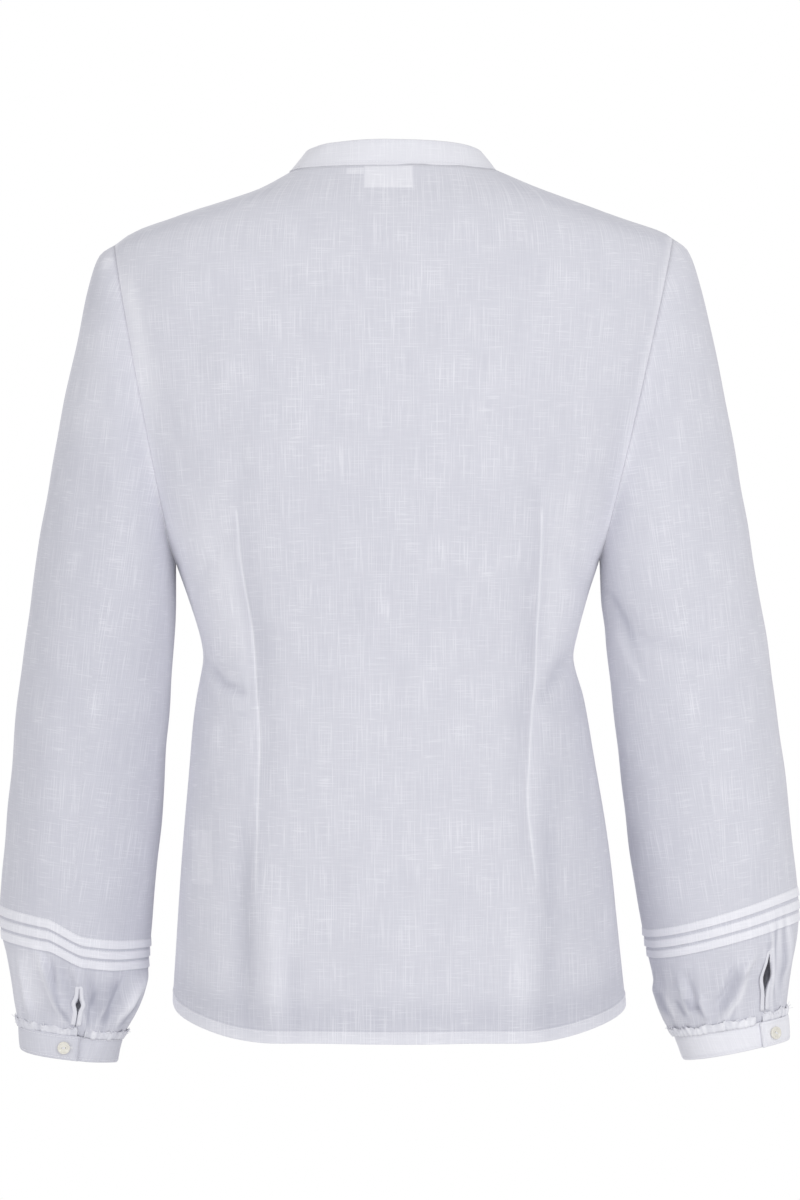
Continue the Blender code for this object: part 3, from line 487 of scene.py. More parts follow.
def dart_place(place, drop):
    """The place of the dart's line, which goes on straight up and down past the dart's ends."""
    drop = np.clip(drop, DART_TOP, DART_END)
    side = np.where(place >= 0, LEFT, RIGHT)
    return np.abs(place_of(side * dart_x(place >= 0, drop), drop))


def dart(place, drop):
    """How far the dart draws the back in, from 1 on its line at the waist."""
    reach = np.where(drop < DART_WAIST, DART_WAIST - DART_TOP, DART_END - DART_WAIST)
    strength = np.clip(1 - np.abs(drop - DART_WAIST) / reach, 0, 1)
    return strength * bell(np.abs(place) - dart_place(place, drop), 0.05)


def beside_dart(place, drop):
    """The place of a column of the grid, moved so that one column runs along each dart."""
    middle = dart_place(place, drop)
    inside = place * middle / DART_COLUMN
    outside = np.copysign(1 - (1 - np.abs(place)) * (1 - middle) / (1 - DART_COLUMN), place)
    return np.where(np.abs(place) < DART_COLUMN, inside, outside)


def body_points(place, drop, facing):
    """Points on the body. place is 0 in the middle of a panel and 1 or -1 at its side seams."""
    side = np.where(place >= 0, LEFT, RIGHT)
    inner, edge = either(place >= 0, felt_edge, drop), either(place >= 0, section_edge, drop)
    edge_x, out = mix(inner, edge, np.abs(place) ** 6)
    edge_y, turn = ARMHOLE_DEPTH * out, math.pi / 2 - ARMHOLE_TURN * out
    depth = smooth(DEPTH[facing], drop)
    angle = np.abs(place) * turn
    squareness = mix(1.0, FULLNESS, 1 - (math.pi / 2 - turn) / ARMHOLE_TURN)
    rise = np.maximum(0.0, (np.cos(angle) - np.cos(turn)) / (1 - np.cos(turn))) ** squareness
    y = edge_y + (depth - edge_y) * rise
    if facing == BACK:
        y = y - DART_DEEP * dart(place, drop)
    return np.stack([side * edge_x * np.sin(angle) / np.sin(turn), facing * y, -drop], -1)


def place_of(x, drop):
    """The place on a panel at a distance from the centre."""
    edge_x, out = either(x >= 0, felt_edge, drop)
    turn = math.pi / 2 - ARMHOLE_TURN * out
    return np.arcsin(np.clip(x * np.sin(turn) / edge_x, -1, 1)) / turn


def neck_drop(place, facing):
    """The drop of the neckline, which is level at the back and scooped at the front."""
    if facing == BACK:
        return np.zeros_like(place)
    return FRONT_NECK_DROP * np.maximum(np.cos(place * math.pi / 2), 0) ** 1.4


def neck_place(place, facing):
    """(place, drop) on the panel at each place along its neckline."""
    wide = np.where(place >= 0, SHOULDER_LINE[LEFT][0][1], SHOULDER_LINE[RIGHT][0][1])
    drop = neck_drop(place, facing)
    return place_of(wide * np.sin(place * math.pi / 2), drop), drop


def hem_drop(place, facing):
    """The drop of the hem, which is lower under the darts and higher at the side seams."""
    corner = np.where(place >= 0, SIDE_SEAM[LEFT][-1][0], SIDE_SEAM[RIGHT][-1][0])
    lobe = HEM_LOBE * bell(np.abs(place) - DART_COLUMN, 0.18)
    return mix(HEM_DROP[facing], corner, np.abs(place) ** 2.6) + lobe * (1 - place**8)


def panel_drop(place, down, facing):
    """Drops on a panel. down is 0 at the neck, 1 at the shoulder, 2 at the underarm, 3 at the hem."""
    share = (place + 1) / 2
    neck, hem = neck_drop(place, facing), hem_drop(place, facing)
    shoulder = mix(SHOULDER_LINE[RIGHT][-1][0], SHOULDER_LINE[LEFT][-1][0], share) + 1.15 * neck
    underarm = mix(SIDE_SEAM[RIGHT][0][0], SIDE_SEAM[LEFT][0][0], share)
    first = mix(neck, shoulder, np.clip(down, 0, 1))
    second = mix(shoulder, underarm, (1 - np.cos(math.pi * np.clip(down - 1, 0, 1))) / 2)
    third = mix(underarm, hem, np.clip(down - 2, 0, 1))
    return np.where(down < 1, first, np.where(down < 2, second, third))


def lap_step(x):
    """1 where the fronts lie over each other, and 0 past where their step ends."""
    return ease((LAP_FADE - np.abs(x)) / (LAP_FADE - OVERLAP))


# ---- sleeve form -------------------------------------------------------------------------
def near_cuff(down):
    """0 along the sleeve, and rising to 1 over its last tenth."""
    return ease((down - 0.9) / 0.1)


def sleeve_radius(down):
    return mix(SLEEVE_RADIUS, CUFF_RADIUS, near_cuff(down))


def sleeve_points(side, turn, down, out):
    """Points round a sleeve. down is 0 at the shoulder and 1 at the cuff, turn is 0 on its outer
    edge and a quarter turn at the back, and out is how far they stand out of the sleeve's form."""
    outer_x, outer_drop = along(OUTER_LINE[side], down)
    inner_x, inner_drop = along(INNER_LINE[side], down**INNER_PACE)
    half = np.hypot(outer_x - inner_x, outer_drop - inner_drop) / 2
    cos = np.cos(turn)
    x = (outer_x + inner_x) / 2 + (outer_x - inner_x) / 2 * cos * (1 + out / half)
    lift = 1 + out * (1 - near_cuff(down)) / half
    drop = (outer_drop + inner_drop) / 2 + (outer_drop - inner_drop) / 2 * cos * lift
    y = (smooth(SLEEVE_DEPTH, down) + out) * np.sin(turn) - smooth(SLEEVE_FORWARD, down)
    return np.stack([side * x, y, -drop], -1)


def slit_gap(side, down):
    """How far each edge of a slit is drawn aside."""
    share = np.clip((down - SLIT_TOP[side]) / (1 - SLIT_TOP[side]), 0, 1)
    return (share > 0) * (SEAM_GAP + SLIT_WIDE[side] * bell(share - 0.32, SLIT_SPREAD[side]))


def tuck_shape(side, down):
    """(height, tone) of the three tucks: each lies folded down, proudest at its lower edge, lighter where
    doubled, with painted shadow under it and fine painted shade along its top.
    """
    height, tone = np.zeros_like(down), np.zeros_like(down)
    for foot in TUCK_FOOTS[side]:
        above = (foot - down) * SLEEVE_LONG
        on = (above >= 0) & (above <= TUCK_LONG)
        height += on * TUCK_PROUD * (1 - 0.65 * above / TUCK_LONG)
        tone += on * 0.82 - 0.24 * bell(above + 0.0009, 0.0009) * (above < 0)
        tone -= 0.06 * bell(above - TUCK_LONG - 0.0004, 0.0006)
    return height, tone


def cuff_points(side, turn, share, out):
    """Points round a cuff, on which share is 0 at its upper edge and 1 at its lower one."""
    outer_x, outer_drop = OUTER_LINE[side][-1]
    inner_x, inner_drop = INNER_LINE[side][-1]
    outer_in, inner_in = CUFF_FOOT_SHIFT[side]
    outer_x, inner_x = outer_x - outer_in * share, inner_x - inner_in * share
    half = (outer_x - inner_x) / 2
    cos = np.cos(turn)
    x = (outer_x + inner_x) / 2 + (half + out) * cos
    drop = (outer_drop + inner_drop) / 2 + (outer_drop - inner_drop) / 2 * cos + CUFF_HIGH * share
    y = (SLEEVE_DEPTH[-1][1] + out) * np.sin(turn) - SLEEVE_FORWARD[-1][1]
    return np.stack([side * x, y, -drop], -1)


# ---- materials ---------------------------------------------------------------------------
def colour(code):
    """A linear colour from its sRGB hex code."""
    parts = [int(code[i : i + 2], 16) / 255 for i in (0, 2, 4)]
    return (*[c / 12.92 if c <= 0.04045 else ((c + 0.055) / 1.055) ** 2.4 for c in parts], 1.0)


def add(tree, kind, settings, sockets):
    """Adds a shader node, whose inputs are values or other nodes' outputs, and gives its outputs."""
    made = tree.nodes.new(f"ShaderNode{kind}")
    for name, value in settings.items():
        setattr(made, name, value)
    for key, value in sockets.items():
        if isinstance(value, bpy.types.NodeSocket):
            tree.links.new(value, made.inputs[key])
        else:
            made.inputs[key].default_value = value
    return made.outputs


def new_material(name, roughness, sheen=0.0, coat=0.0):
    material = bpy.data.materials.new(name)
    material.use_nodes = True
    tree = material.node_tree
    shader = tree.nodes["Principled BSDF"]
    for key, value in (
        ("Roughness", roughness), ("Specular IOR Level", 0.25), ("Sheen Weight", sheen),
        ("Sheen Roughness", 0.5), ("Coat Weight", coat), ("Coat Roughness", 0.12),
    ):
        shader.inputs[key].default_value = value
    return material, tree, shader


def yarn(tree, cloth_map, across, along_yarn, seed):
    """Streaks of yarns: about this wide and this long, in metres of cloth."""
    scaled = add(tree, "VectorMath", {"operation": "MULTIPLY"},
                 {0: cloth_map, 1: (1 / across, 1 / along_yarn, 0.0)})
    moved = add(tree, "VectorMath", {"operation": "ADD"}, {0: scaled[0], 1: (seed, seed * 1.7, 0.0)})
    return add(tree, "TexNoise", {"noise_dimensions": "2D"},
               {"Vector": moved[0], "Scale": 1.0, "Detail": 1.5, "Roughness": 0.6})["Fac"]


def thick_places(tree, yarns, start):
    """1 where a yarn is at its thickest, and 0 elsewhere."""
    return add(tree, "MapRange", {"interpolation_type": "SMOOTHSTEP"},
               {"Value": yarns, "From Min": start, "From Max": start + 0.13})[0]


def patch(tree, place, size, angle):
    """1 on a flat oblong behind the cloth, looked at along Y, and 0 off it. place is (X, Z)."""
    here = add(tree, "TexCoord", {}, {})["Object"]
    local = add(tree, "Mapping", {"vector_type": "TEXTURE"},
                {"Vector": here, "Location": (place[0], 0, place[1]), "Rotation": (0, angle, 0),
                 "Scale": (size[0], 1, size[1])})
    away = add(tree, "VectorMath", {"operation": "ABSOLUTE"}, {0: local[0]})
    parts = add(tree, "SeparateXYZ", {}, {0: away[0]})
    most = add(tree, "Math", {"operation": "MAXIMUM"}, {0: parts[0], 1: parts[2]})
    return add(tree, "MapRange", {"interpolation_type": "SMOOTHSTEP"},
               {"Value": most[0], "From Min": 0.46, "From Max": 0.53, "To Min": 1.0, "To Max": 0.0})[0]


def cotton(name, dark, light, weave=1.0, patches=()):
    """Slub cotton: a plain weave whose uneven yarns give the eye short fine streaks, more of them
    down the cloth than across it. weave says how clearly they show."""
    material, tree, shader = new_material(name, 0.92, sheen=0.12)
    cloth_map = add(tree, "UVMap", {"uv_map": "cloth"}, {})[0]
    tone = add(tree, "Attribute", {"attribute_name": "tone"}, {})["Fac"]
    warp = yarn(tree, cloth_map, YARN_WIDE, WARP_SLUB, 3.0)
    weft = yarn(tree, cloth_map, WEFT_SLUB, YARN_WIDE, 11.0)
    cloudy = yarn(tree, cloth_map, *CLOUD_SIZE, 5.0)
    slubs = add(tree, "Math", {"operation": "MAXIMUM"},
                {0: thick_places(tree, warp, 0.57), 1: thick_places(tree, weft, 0.60)})
    clouded = add(tree, "Math", {"operation": "MULTIPLY"}, {0: slubs[0], 1: cloudy})
    layers = [(clouded[0], 0.22 * weave)]
    for part, strength in ((warp, 0.20), (weft, 0.12), (cloudy, 0.10)):
        layers.append((add(tree, "Math", {"operation": "SUBTRACT"}, {0: part, 1: 0.5})[0], strength * weave))
    # The tone attribute brings in doubled cloth and seams seen through it, and painted light and shade.
    layers.append((tone, 0.5))
    layers += [(patch(tree, *oblong), strength) for *oblong, strength in patches]
    level = 0.495
    for part, strength in layers:
        level = add(tree, "Math", {"operation": "MULTIPLY_ADD"}, {0: part, 1: strength, 2: level})[0]
    ramp = add(tree, "Mix", {"data_type": "RGBA", "clamp_factor": True},
               {"Factor": level, 6: colour(dark), 7: colour(light)})
    tree.links.new(ramp[2], shader.inputs["Base Color"])
    low = add(tree, "Math", {"operation": "MULTIPLY"}, {0: weft, 1: 0.4})
    raised = add(tree, "Math", {"operation": "MULTIPLY_ADD"}, {0: warp, 1: 0.6, 2: low[0]})
    bump = add(tree, "Bump", {}, {"Strength": 0.25, "Distance": 0.0006, "Height": raised[0]})
    tree.links.new(bump[0], shader.inputs["Normal"])
    return material


def plain(name, code, roughness):
    """One even colour, for thread, tape and the floor."""
    material, _, shader = new_material(name, roughness)
    shader.inputs["Base Color"].default_value = colour(code)
    return material


def shell():
    """River shell, turned and polished: pearly, with faint growth bands under a clear gloss."""
    material, tree, shader = new_material("polished shell", 0.3, coat=0.6)
    here = add(tree, "TexCoord", {}, {})["Object"]
    bands = add(tree, "TexNoise", {}, {"Vector": here, "Scale": SHELL_BANDS, "Detail": 2.0})
    ramp = add(tree, "Mix", {"data_type": "RGBA"},
               {"Factor": bands["Fac"], 6: colour("d3cfc2"), 7: colour("f4f2ea")})
    tree.links.new(ramp[2], shader.inputs["Base Color"])
    return material


# ---- making pieces -----------------------------------------------------------------------
def run_length(path):
    """How far along it each point of a path lies. path's points run along its first axis."""
    steps = np.linalg.norm(np.diff(path, axis=0), axis=-1)
    return np.concatenate([np.zeros((1, *steps.shape[1:])), np.cumsum(steps, axis=0)])


def cloth_maps(points):
    """How far each point of a grid lies along the cloth: across from its middle column, and down."""
    middle = (points.shape[1] - 1) // 2
    across = run_length(points.swapaxes(0, 1)).T
    across -= across[:, middle : middle + 1]
    return across, run_length(points) + points[0, :, 2].max() - points[0, :, 2]


def body_maps(points, drop, facing):
    """The same on a body panel, whose yarns run straight down and level."""
    x, y = points[..., 0], np.abs(points[..., 1])
    return x + np.sign(x) * SIDE_STRETCH * np.maximum(smooth(DEPTH[facing], drop) - y, 0), drop


def sleeve_maps(points, side):
    """The same on a sleeve, whose yarns run along it and across it."""
    x, y, drop = side * points[..., 0], np.abs(points[..., 1]), -points[..., 2]
    across = x * math.cos(SLEEVE_LEAN) - drop * math.sin(SLEEVE_LEAN)
    middle = (across.max(axis=1, keepdims=True) + across.min(axis=1, keepdims=True)) / 2
    across += np.sign(across - middle) * SIDE_STRETCH * (y.max(axis=1, keepdims=True) - y)
    return across, x * math.sin(SLEEVE_LEAN) + drop * math.cos(SLEEVE_LEAN)


def finished(name, node, mesh_data, materials):
    """Makes the object of a piece, hangs it on the root and hides the solid it stands for."""
    mesh = bpy.data.meshes.new(name)
    mesh_data.to_mesh(mesh)
    mesh_data.free()
    for material in materials:
        mesh.materials.append(material)
    piece = bpy.data.objects.new(name, mesh)
    bpy.context.scene.collection.objects.link(piece)
    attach(piece, "root")
    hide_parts(node)
    return piece


def cloth_piece(name, points, sign, thickness, cloth, tone=0.0, join=False, maps=None):
    """A shell of cloth whose outer face is this grid of points, [row][column]."""
    rows, columns = points.shape[0] - 1, points.shape[1] - 1
    across, down = maps or cloth_maps(points)
    outward = normals(points, sign)
    tone = np.broadcast_to(tone, across.shape)
    mesh_data = bmesh.new()
    bmesh.ops.create_grid(mesh_data, x_segments=columns, y_segments=rows, size=0.5)
    tones = mesh_data.verts.layers.float.new("tone")
    cloth_map = mesh_data.loops.layers.uv.new("cloth")
    cell = {}
    for vert in mesh_data.verts:
        cell[vert] = round((0.5 - vert.co.y) * rows), round((vert.co.x + 0.5) * columns)
    for vert, at in cell.items():
        vert.co = points[at]
        vert[tones] = float(tone[at])
    for face in mesh_data.faces:
        face.smooth = True
        for loop in face.loops:
            at = cell[loop.vert]
            loop[cloth_map].uv = (across[at], -down[at])
    mesh_data.normal_update()
    sample = list(mesh_data.faces)[:: max(1, len(mesh_data.faces) // 200)]
    facing = sum(face.normal.dot(Vector(outward[cell[face.verts[0]]])) for face in sample)
    if facing < 0:
        bmesh.ops.reverse_faces(mesh_data, faces=mesh_data.faces)
    if join:
        bmesh.ops.remove_doubles(mesh_data, verts=mesh_data.verts, dist=2e-5)
    piece = finished(f"{name}_cloth", name, mesh_data, [cloth.material])
    solid = piece.modifiers.new("cloth thickness", "SOLIDIFY")
    solid.thickness = thickness
    solid.offset = -1
    return piece


def thread_bar(mesh_data, start, end, up, wide=THREAD_WIDE, high=THREAD_HIGH):
    """A short straight thread or bar that lies on the cloth, half sunk into it."""
    start, end, up = Vector(start), Vector(end), Vector(up)
    across = up.cross(end - start).normalized() * wide
    for vert in bmesh.ops.create_cube(mesh_data, size=1)["verts"]:
        x, y, z = vert.co
        vert.co = (start + end) / 2 + (end - start) * x + across * y + up * high * (z + 0.2)


def stitches(name, points, outward, lines, cloth):
    """Rows of lockstitches, each along one line of a piece's grid of points."""
    mesh_data = bmesh.new()
    for line in lines:
        path, up = points[line], outward[line]
        passed = run_length(path)
        count = int(passed[-1] / STITCH_PITCH)
        middles = (np.arange(count) + 0.5) * passed[-1] / count
        wanted = (middles - STITCH_LONG / 2, path), (middles + STITCH_LONG / 2, path), (middles, up)
        starts, stops, ups = [
            np.stack([np.interp(at, passed, values[:, k]) for k in range(3)], -1) for at, values in wanted
        ]
        for start, stop, way in zip(starts, stops, ups):
            thread_bar(mesh_data, start, stop, way)
    finished(f"{name}_stitches", name, mesh_data, [cloth.thread])


def nearest(values, value):
    return int(np.argmin(np.abs(np.asarray(values) - value)))


def spaced(low, high, step, extra=()):
    """Values from low to high about a step apart, with extra ones let in."""
    extra = [value for value in extra if low < value < high]
    plain_ones = np.linspace(low, high, max(2, round((high - low) / step) + 1))
    kept = [v for v in plain_ones[1:-1] if all(abs(v - e) > step * 0.4 for e in extra)]
    return np.array(sorted([low, high, *kept, *extra]))


# A panel's rows, from neck to hem, closer together on its last 11 mm, where the hem is turned.
DOWNS = np.concatenate([
    np.linspace(0, 1, 17)[:-1], np.linspace(1, 2, 65)[:-1],
    spaced(2, 3, 0.012, [3 - d / PANEL_SKIRT for d in (0.0005, HEM_STITCH, 0.0086, 0.0092, 0.0098, 0.0106)]),
])
HEM_ROW = nearest(DOWNS, 3 - HEM_STITCH / PANEL_SKIRT)


def hem_looks(drop, hem):
    """(height, tone) of the turned hem, which is doubled, so it is proud and brighter, with a fine
    shade along its stitches."""
    above = hem - drop
    doubled = ease((HEM_HIGH + 0.0003 - above) / 0.0006)
    return 0.0006 * doubled, 0.44 * doubled - 0.20 * bell(above - HEM_HIGH - 0.0004, 0.0007)


def shoulder_drop(x):
    """The drop of the shoulder line at a distance from the centre."""
    found = np.zeros_like(x)
    for side in (LEFT, RIGHT):
        line = [(wide, drop) for drop, wide in SHOULDER_LINE[side]]
        found = np.where(np.sign(x) == side, smooth(line, np.abs(x)), found)
    return found


def back_tone(column, down, drop, x):
    """The back's lighter and darker places that follow its seams and darts: seams seen through the cloth, and
    painted light and shade.
    """
    is_left = column >= 0
    aside = np.abs(x) - dart_x(is_left, drop)  # how far outside the dart's line
    near_side, hem = 1 - np.abs(column), hem_drop(column, BACK)
    outside = ease(aside / 0.012)
    blade = ease((drop - 0.07) / 0.03) * ease((0.22 - drop) / 0.08)
    seam = bell(drop - shoulder_drop(x) - 0.010, 0.004) * (np.abs(x) > 0.085) * (down < 1.6)
    # Seen through the cloth: the dart's folded edge and, beside the armhole, the seam's allowance.
    tone = 0.55 * bell(aside, 0.0008) * inside_dart(drop)
    tone += np.where(is_left, 0.30, 0.45) * bell(near_side, 0.045) * (down > 1) * (down < 2)
    # The soft shade inside each dart, and the light and the shade outside it, above and below the waist.
    band = dart_pull(drop) * ease(-aside / 0.003) * bell(aside + 0.006, 0.010)
    tone -= np.where(is_left, 0.14, 0.17) * band
    above_waist = ease((0.385 - drop) / 0.04) * ease((drop - 0.22) / 0.08)
    tone += np.where(is_left, 0.40, 0.31) * outside * above_waist
    tone -= np.where(is_left, -0.02, 0.13) * outside * ease((drop - 0.37) / 0.04)
    # Shade above the hem and under the shoulder seams, light on the left shoulder blade and the sides.
    tone -= 0.32 * bell(hem - drop - 0.018, 0.014) + 0.16 * seam
    tone += 0.48 * is_left * blade * bell(near_side - 0.075, 0.07)
    return tone + 0.35 * ease((np.abs(column) - 0.74) / 0.26) * ease((drop - 0.24) / 0.05)


def dart_pull(drop):
    """How hard a dart draws the cloth in, from 1 at the waist."""
    return np.clip(1 - np.abs(drop - DART_WAIST) / 0.180, 0, 1) ** 0.6


def inside_dart(drop):
    return ease((drop - 0.257) / 0.004) * ease((DART_END - drop) / 0.03)


def make_back(cloth):
    near_dart = [s * (DART_COLUMN + d) for s in (-1, 1)
                 for d in (-0.020, -0.010, -0.004, -0.0015, 0, 0.0015, 0.004, 0.010, 0.020)]
    near_edge = [s * (1 - d) for s in (-1, 1) for d in (0.003, 0.008, 0.018)]
    column, down = np.meshgrid(spaced(-1, 1, 0.0145, near_dart + near_edge), DOWNS)
    drop = panel_drop(column, down, BACK)
    points = body_points(np.clip(beside_dart(column, drop), -PANEL_EDGE, PANEL_EDGE), drop, BACK)
    outward = normals(points, 1)
    aside = np.abs(points[..., 0]) - dart_x(column >= 0, drop)
    height, tone = hem_looks(drop, hem_drop(column, BACK))
    height += strokes(points, BACK_FOLDS) + RIPPLE * soft_noise(points, 0.022, 1)
    height += 2 * RIPPLE * soft_noise(points, 0.060, 2)
    height -= 0.0006 * dart_pull(drop) * bell(aside, 0.0010) * inside_dart(drop)
    height *= ease((1 - np.abs(column)) / 0.06)
    # Painted shade in the folds and highlights on their ridges, with the back's own lighter and darker
    # places.
    tone += strokes(points, BACK_TONES) + back_tone(column, down, drop, points[..., 0])
    maps = body_maps(points, drop, BACK)
    points = points + outward * height[..., None]
    piece = cloth_piece("back", points, 1, VOILE, cloth, tone, maps=maps)
    stitches("back", points, outward, [np.s_[HEM_ROW]], cloth)


def front_grid(side):
    """(place, drop) of a front panel's points, from its free edge to its side seam."""
    neck_x = SHOULDER_LINE[side][0][1]
    first = math.asin(LAP_FADE / neck_x) * 2 / math.pi  # the place where the lap's step has ended
    place, drop = [], []
    for x in np.linspace(-OVERLAP, LAP_FADE, 15):
        share = side * math.asin(x / neck_x) * 2 / math.pi
        drop.append(panel_drop(np.full_like(DOWNS, share), DOWNS, FRONT))
        place.append(place_of(np.full_like(DOWNS, side * x), drop[-1]))
    for t in spaced(0, 1, 0.020, [1 - 0.006, 1 - 0.016])[1:]:
        share = np.full_like(DOWNS, side * mix(first, 1.0, t))
        drop.append(panel_drop(share, DOWNS, FRONT))
        at_neck, _ = neck_place(share, FRONT)
        lap_at = place_of(np.full_like(DOWNS, side * LAP_FADE), drop[-1]) * side
        spread = mix(at_neck, side * mix(lap_at, 1.0, t), np.clip(DOWNS, 0, 1))
        place.append(np.clip(spread, -PANEL_EDGE, PANEL_EDGE))
    return np.array(place).T, np.array(drop).T


def make_front(side, cloth):
    place, drop = front_grid(side)
    points = body_points(place, drop, FRONT)
    outward = normals(points, -side)
    height, tone = hem_looks(drop, hem_drop(place, FRONT))
    height += strokes(points, FRONT_FOLDS) + 0.0007 * soft_noise(points, 0.060, 3)
    height += RIPPLE * soft_noise(points, 0.022, 4)
    height *= ease((np.abs(points[..., 0]) - 0.014) / 0.02) * ease((1 - np.abs(place)) / 0.06)
    height -= side * lap_step(points[..., 0]) * LAP_STEP / 2
    points = points + outward * height[..., None]
    name = f"front_{SIDE_NAMES[side]}"
    piece = cloth_piece(name, points, -side, VOILE, cloth, tone, maps=body_maps(points, drop, FRONT))
    stitches(name, points, outward, [np.s_[HEM_ROW, 11:]], cloth)


def groove(edge_away, stitched=0.0020):
    """1 along a band's edge stitches, which draw it in, falling off to both sides."""
    return bell(edge_away - stitched, 0.0007)


def make_placket(folded):
    # Distances of the grid's lines from the band's edge, the fourth along its stitches.
    offsets = np.array([0, 0.0006, 0.0014, 0.0022, 0.0030, 0.0044, 0.0070, 0.0095, 0.0120])
    x = OVERLAP - np.concatenate([offsets, PLACKET_WIDE - offsets[-2::-1]])
    x, drop = np.meshgrid(x, panel_drop(np.zeros_like(DOWNS), DOWNS, FRONT))
    points = body_points(place_of(x, drop), drop, FRONT)
    outward = normals(points, 1)
    near_edge = np.minimum(OVERLAP - x, x - (OVERLAP - PLACKET_WIDE))
    drawn_in = groove(near_edge, offsets[3])
    height = LAP_STEP / 2 + 0.0003 + PLACKET_THICK - 0.0004 * bell(near_edge, 0.0006) - 0.0003 * drawn_in
    points = points + outward * height[..., None]
    # A doubled band, darker along its stitches: painted shade in their groove.
    piece = cloth_piece("front_placket", points, 1, PLACKET_THICK, folded, 0.30 - 0.16 * drawn_in)
    stitches("front_placket", points, outward, [np.s_[:, 3], np.s_[:, -4]], folded)


def make_sleeve(side, cloth):
    feet, slit = TUCK_FOOTS[side], SLIT_TURN[side]
    tucks_end = feet[-1] + 0.006
    downs = np.concatenate([
        np.linspace(0, 0.82, 105)[:-1], np.linspace(0.82, tucks_end, 88)[:-1],
        np.linspace(tucks_end, 1.0, 46),
    ])
    turns = slit + np.linspace(0, 2 * math.pi, 181)
    turns += 0.4 * (np.cos(turns) - math.cos(slit))  # closer together at the back
    turn, down = np.meshgrid(turns, downs)
    pull = np.exp(-(turn - slit) / 0.25) - np.exp(-(slit + 2 * math.pi - turn) / 0.25)
    turn = turn + slit_gap(side, down) / sleeve_radius(down) * pull
    sway = smooth(TUCK_SWAY[side], np.mod(np.degrees(turn), 360))
    sunk = down + sway * ease((down - 0.78) / 0.06) * ease((0.97 - down) / 0.06)
    plain_form = sleeve_points(side, turn, sunk, np.zeros_like(down))
    back = ease(np.sin(turn) / 0.5 + 0.3)
    hidden = 0.5 - 0.5 * np.tanh(np.sin(turn) * 6 + 0.5)  # 1 on the far side, whose gathers are even
    gather = ease((down - feet[-1]) / 0.03)  # 1 in the gathered cloth below the tucks
    ridges = np.cos(turn * 13 + 1.3 * np.sin(turn * 2)) + 0.6 * np.cos(turn * 21 + 2.0)

    height, tone = tuck_shape(side, down)
    height += 0.0010 * gather * ridges * (0.35 + 0.65 * hidden)
    height += strokes(plain_form, SLEEVE_FOLDS[side]) * mix(0.5, 1.0, back) * mix(1.0, 1.9, gather)
    height += 2 * RIPPLE * soft_noise(plain_form, 0.055, 5)
    height += RIPPLE * soft_noise(plain_form, 0.020, 6) * (1 + gather)
    height *= (ease(down / 0.02) * 0.9 + 0.1) * (1 - 0.7 * ease((down - 0.985) / 0.012))
    aside = np.minimum(turn - slit, slit + 2 * math.pi - turn) * sleeve_radius(down)
    height *= 1 - 0.85 * bell(aside, 0.005) * ease((down - SLIT_TOP[side] + 0.02) / 0.015)

    # Painted light along the head seam and the inner edge and in the valley between sleeve and body,
    # where it lifts the shade; painted shade over each sleeve, most on the left; and painted light
    # and shade on its folds and on the ridges of its gathers.
    valley = ease((0.25 - np.cos(turn)) / 0.8) * np.exp(-down / 0.16)
    inner = ease((-0.70 - np.cos(turn)) / 0.30) * ease((0.93 - down) / 0.1)
    tone += SLEEVE_PAINTED_SHADE[side] + 0.25 * np.exp(-down / 0.012) + VALLEY_PAINTED_LIGHT[side] * valley + 0.30 * inner
    tone += back * strokes(plain_form, SLEEVE_TONES[side]) + 0.05 * gather * ridges

    points = sleeve_points(side, turn, sunk, height)
    points[..., 0] -= side * 0.0004 * (down < 0.004)  # its head is tucked just under the body
    name = f"sleeve_{SIDE_NAMES[side]}"
    maps = sleeve_maps(plain_form, side)
    piece = cloth_piece(name, points, -side, VOILE, cloth, tone, join=True, maps=maps)
    lines = [nearest(downs, foot - (TUCK_LONG + 0.0003) / SLEEVE_LONG) for foot in feet]
    stitches(name, points, normals(points, -side), lines, cloth)


def make_binding(side, folded):
    """The strip that binds the slit's edges, as one hairpin round its top."""
    top, low, legs = SLIT_TOP[side], 0.985, 22
    bent = np.linspace(0, math.pi, 13)[1:-1]
    down = np.concatenate([np.linspace(low, top, legs), np.full(len(bent), top), np.linspace(top, low, legs)])
    way = np.concatenate([-np.ones(legs), -np.cos(bent), np.ones(legs)])
    lift = np.concatenate([np.zeros(legs), np.sin(bent), np.zeros(legs)])
    wide = np.linspace(0, 1, 7)[:, None]
    reach = SEAM_GAP + BINDING_WIDE * 0.62 * wide
    gap = np.where(lift > 0, 0.0, slit_gap(side, down))
    share = down - lift * reach / SLEEVE_LONG
    turn = SLIT_TURN[side] + way * (gap + reach) / sleeve_radius(share)
    points = sleeve_points(side, turn, share, 0.0011 - 0.0005 * (2 * wide - 1) ** 4)
    sleeve = f"sleeve_{SIDE_NAMES[side]}"
    piece = cloth_piece(f"{sleeve}_binding", points, side, 0.0008, folded, 0.34)


def make_cuff(side, folded):
    share, high = np.meshgrid(np.linspace(0, 1, 141), BAND_ROWS)
    turn = CUFF_START[side] - CUFF_LAP + (2 * math.pi + CUFF_LAP) * share
    end_away = (1 - share) * (2 * math.pi + CUFF_LAP) * CUFF_RADIUS
    edge_away = np.minimum(np.minimum(high, 1 - high) * CUFF_HIGH, end_away)
    drawn_in = groove(edge_away)
    out = (BAND + 0.0004) * ease((share - 0.75) / 0.16)
    out -= 0.0006 * bell(edge_away, BAND_ROUND) + 0.00025 * drawn_in
    points = cuff_points(side, turn, high, out)
    points += normals(points, -side) * (RIPPLE * soft_noise(points, 0.012, 7 + side))[..., None]
    name = f"cuff_{SIDE_NAMES[side]}"
    # A doubled band, darker along its stitches: painted shade in their groove; the left cuff also gets
    # painted shade and the right one painted light.
    piece = cloth_piece(name, points, -side, BAND * 0.9, folded, CUFF_TONES[side] - 0.18 * drawn_in)
    stitches(name, points, normals(points, -side), [np.s_[3, 2:-2], np.s_[-4, 2:-2]], folded)


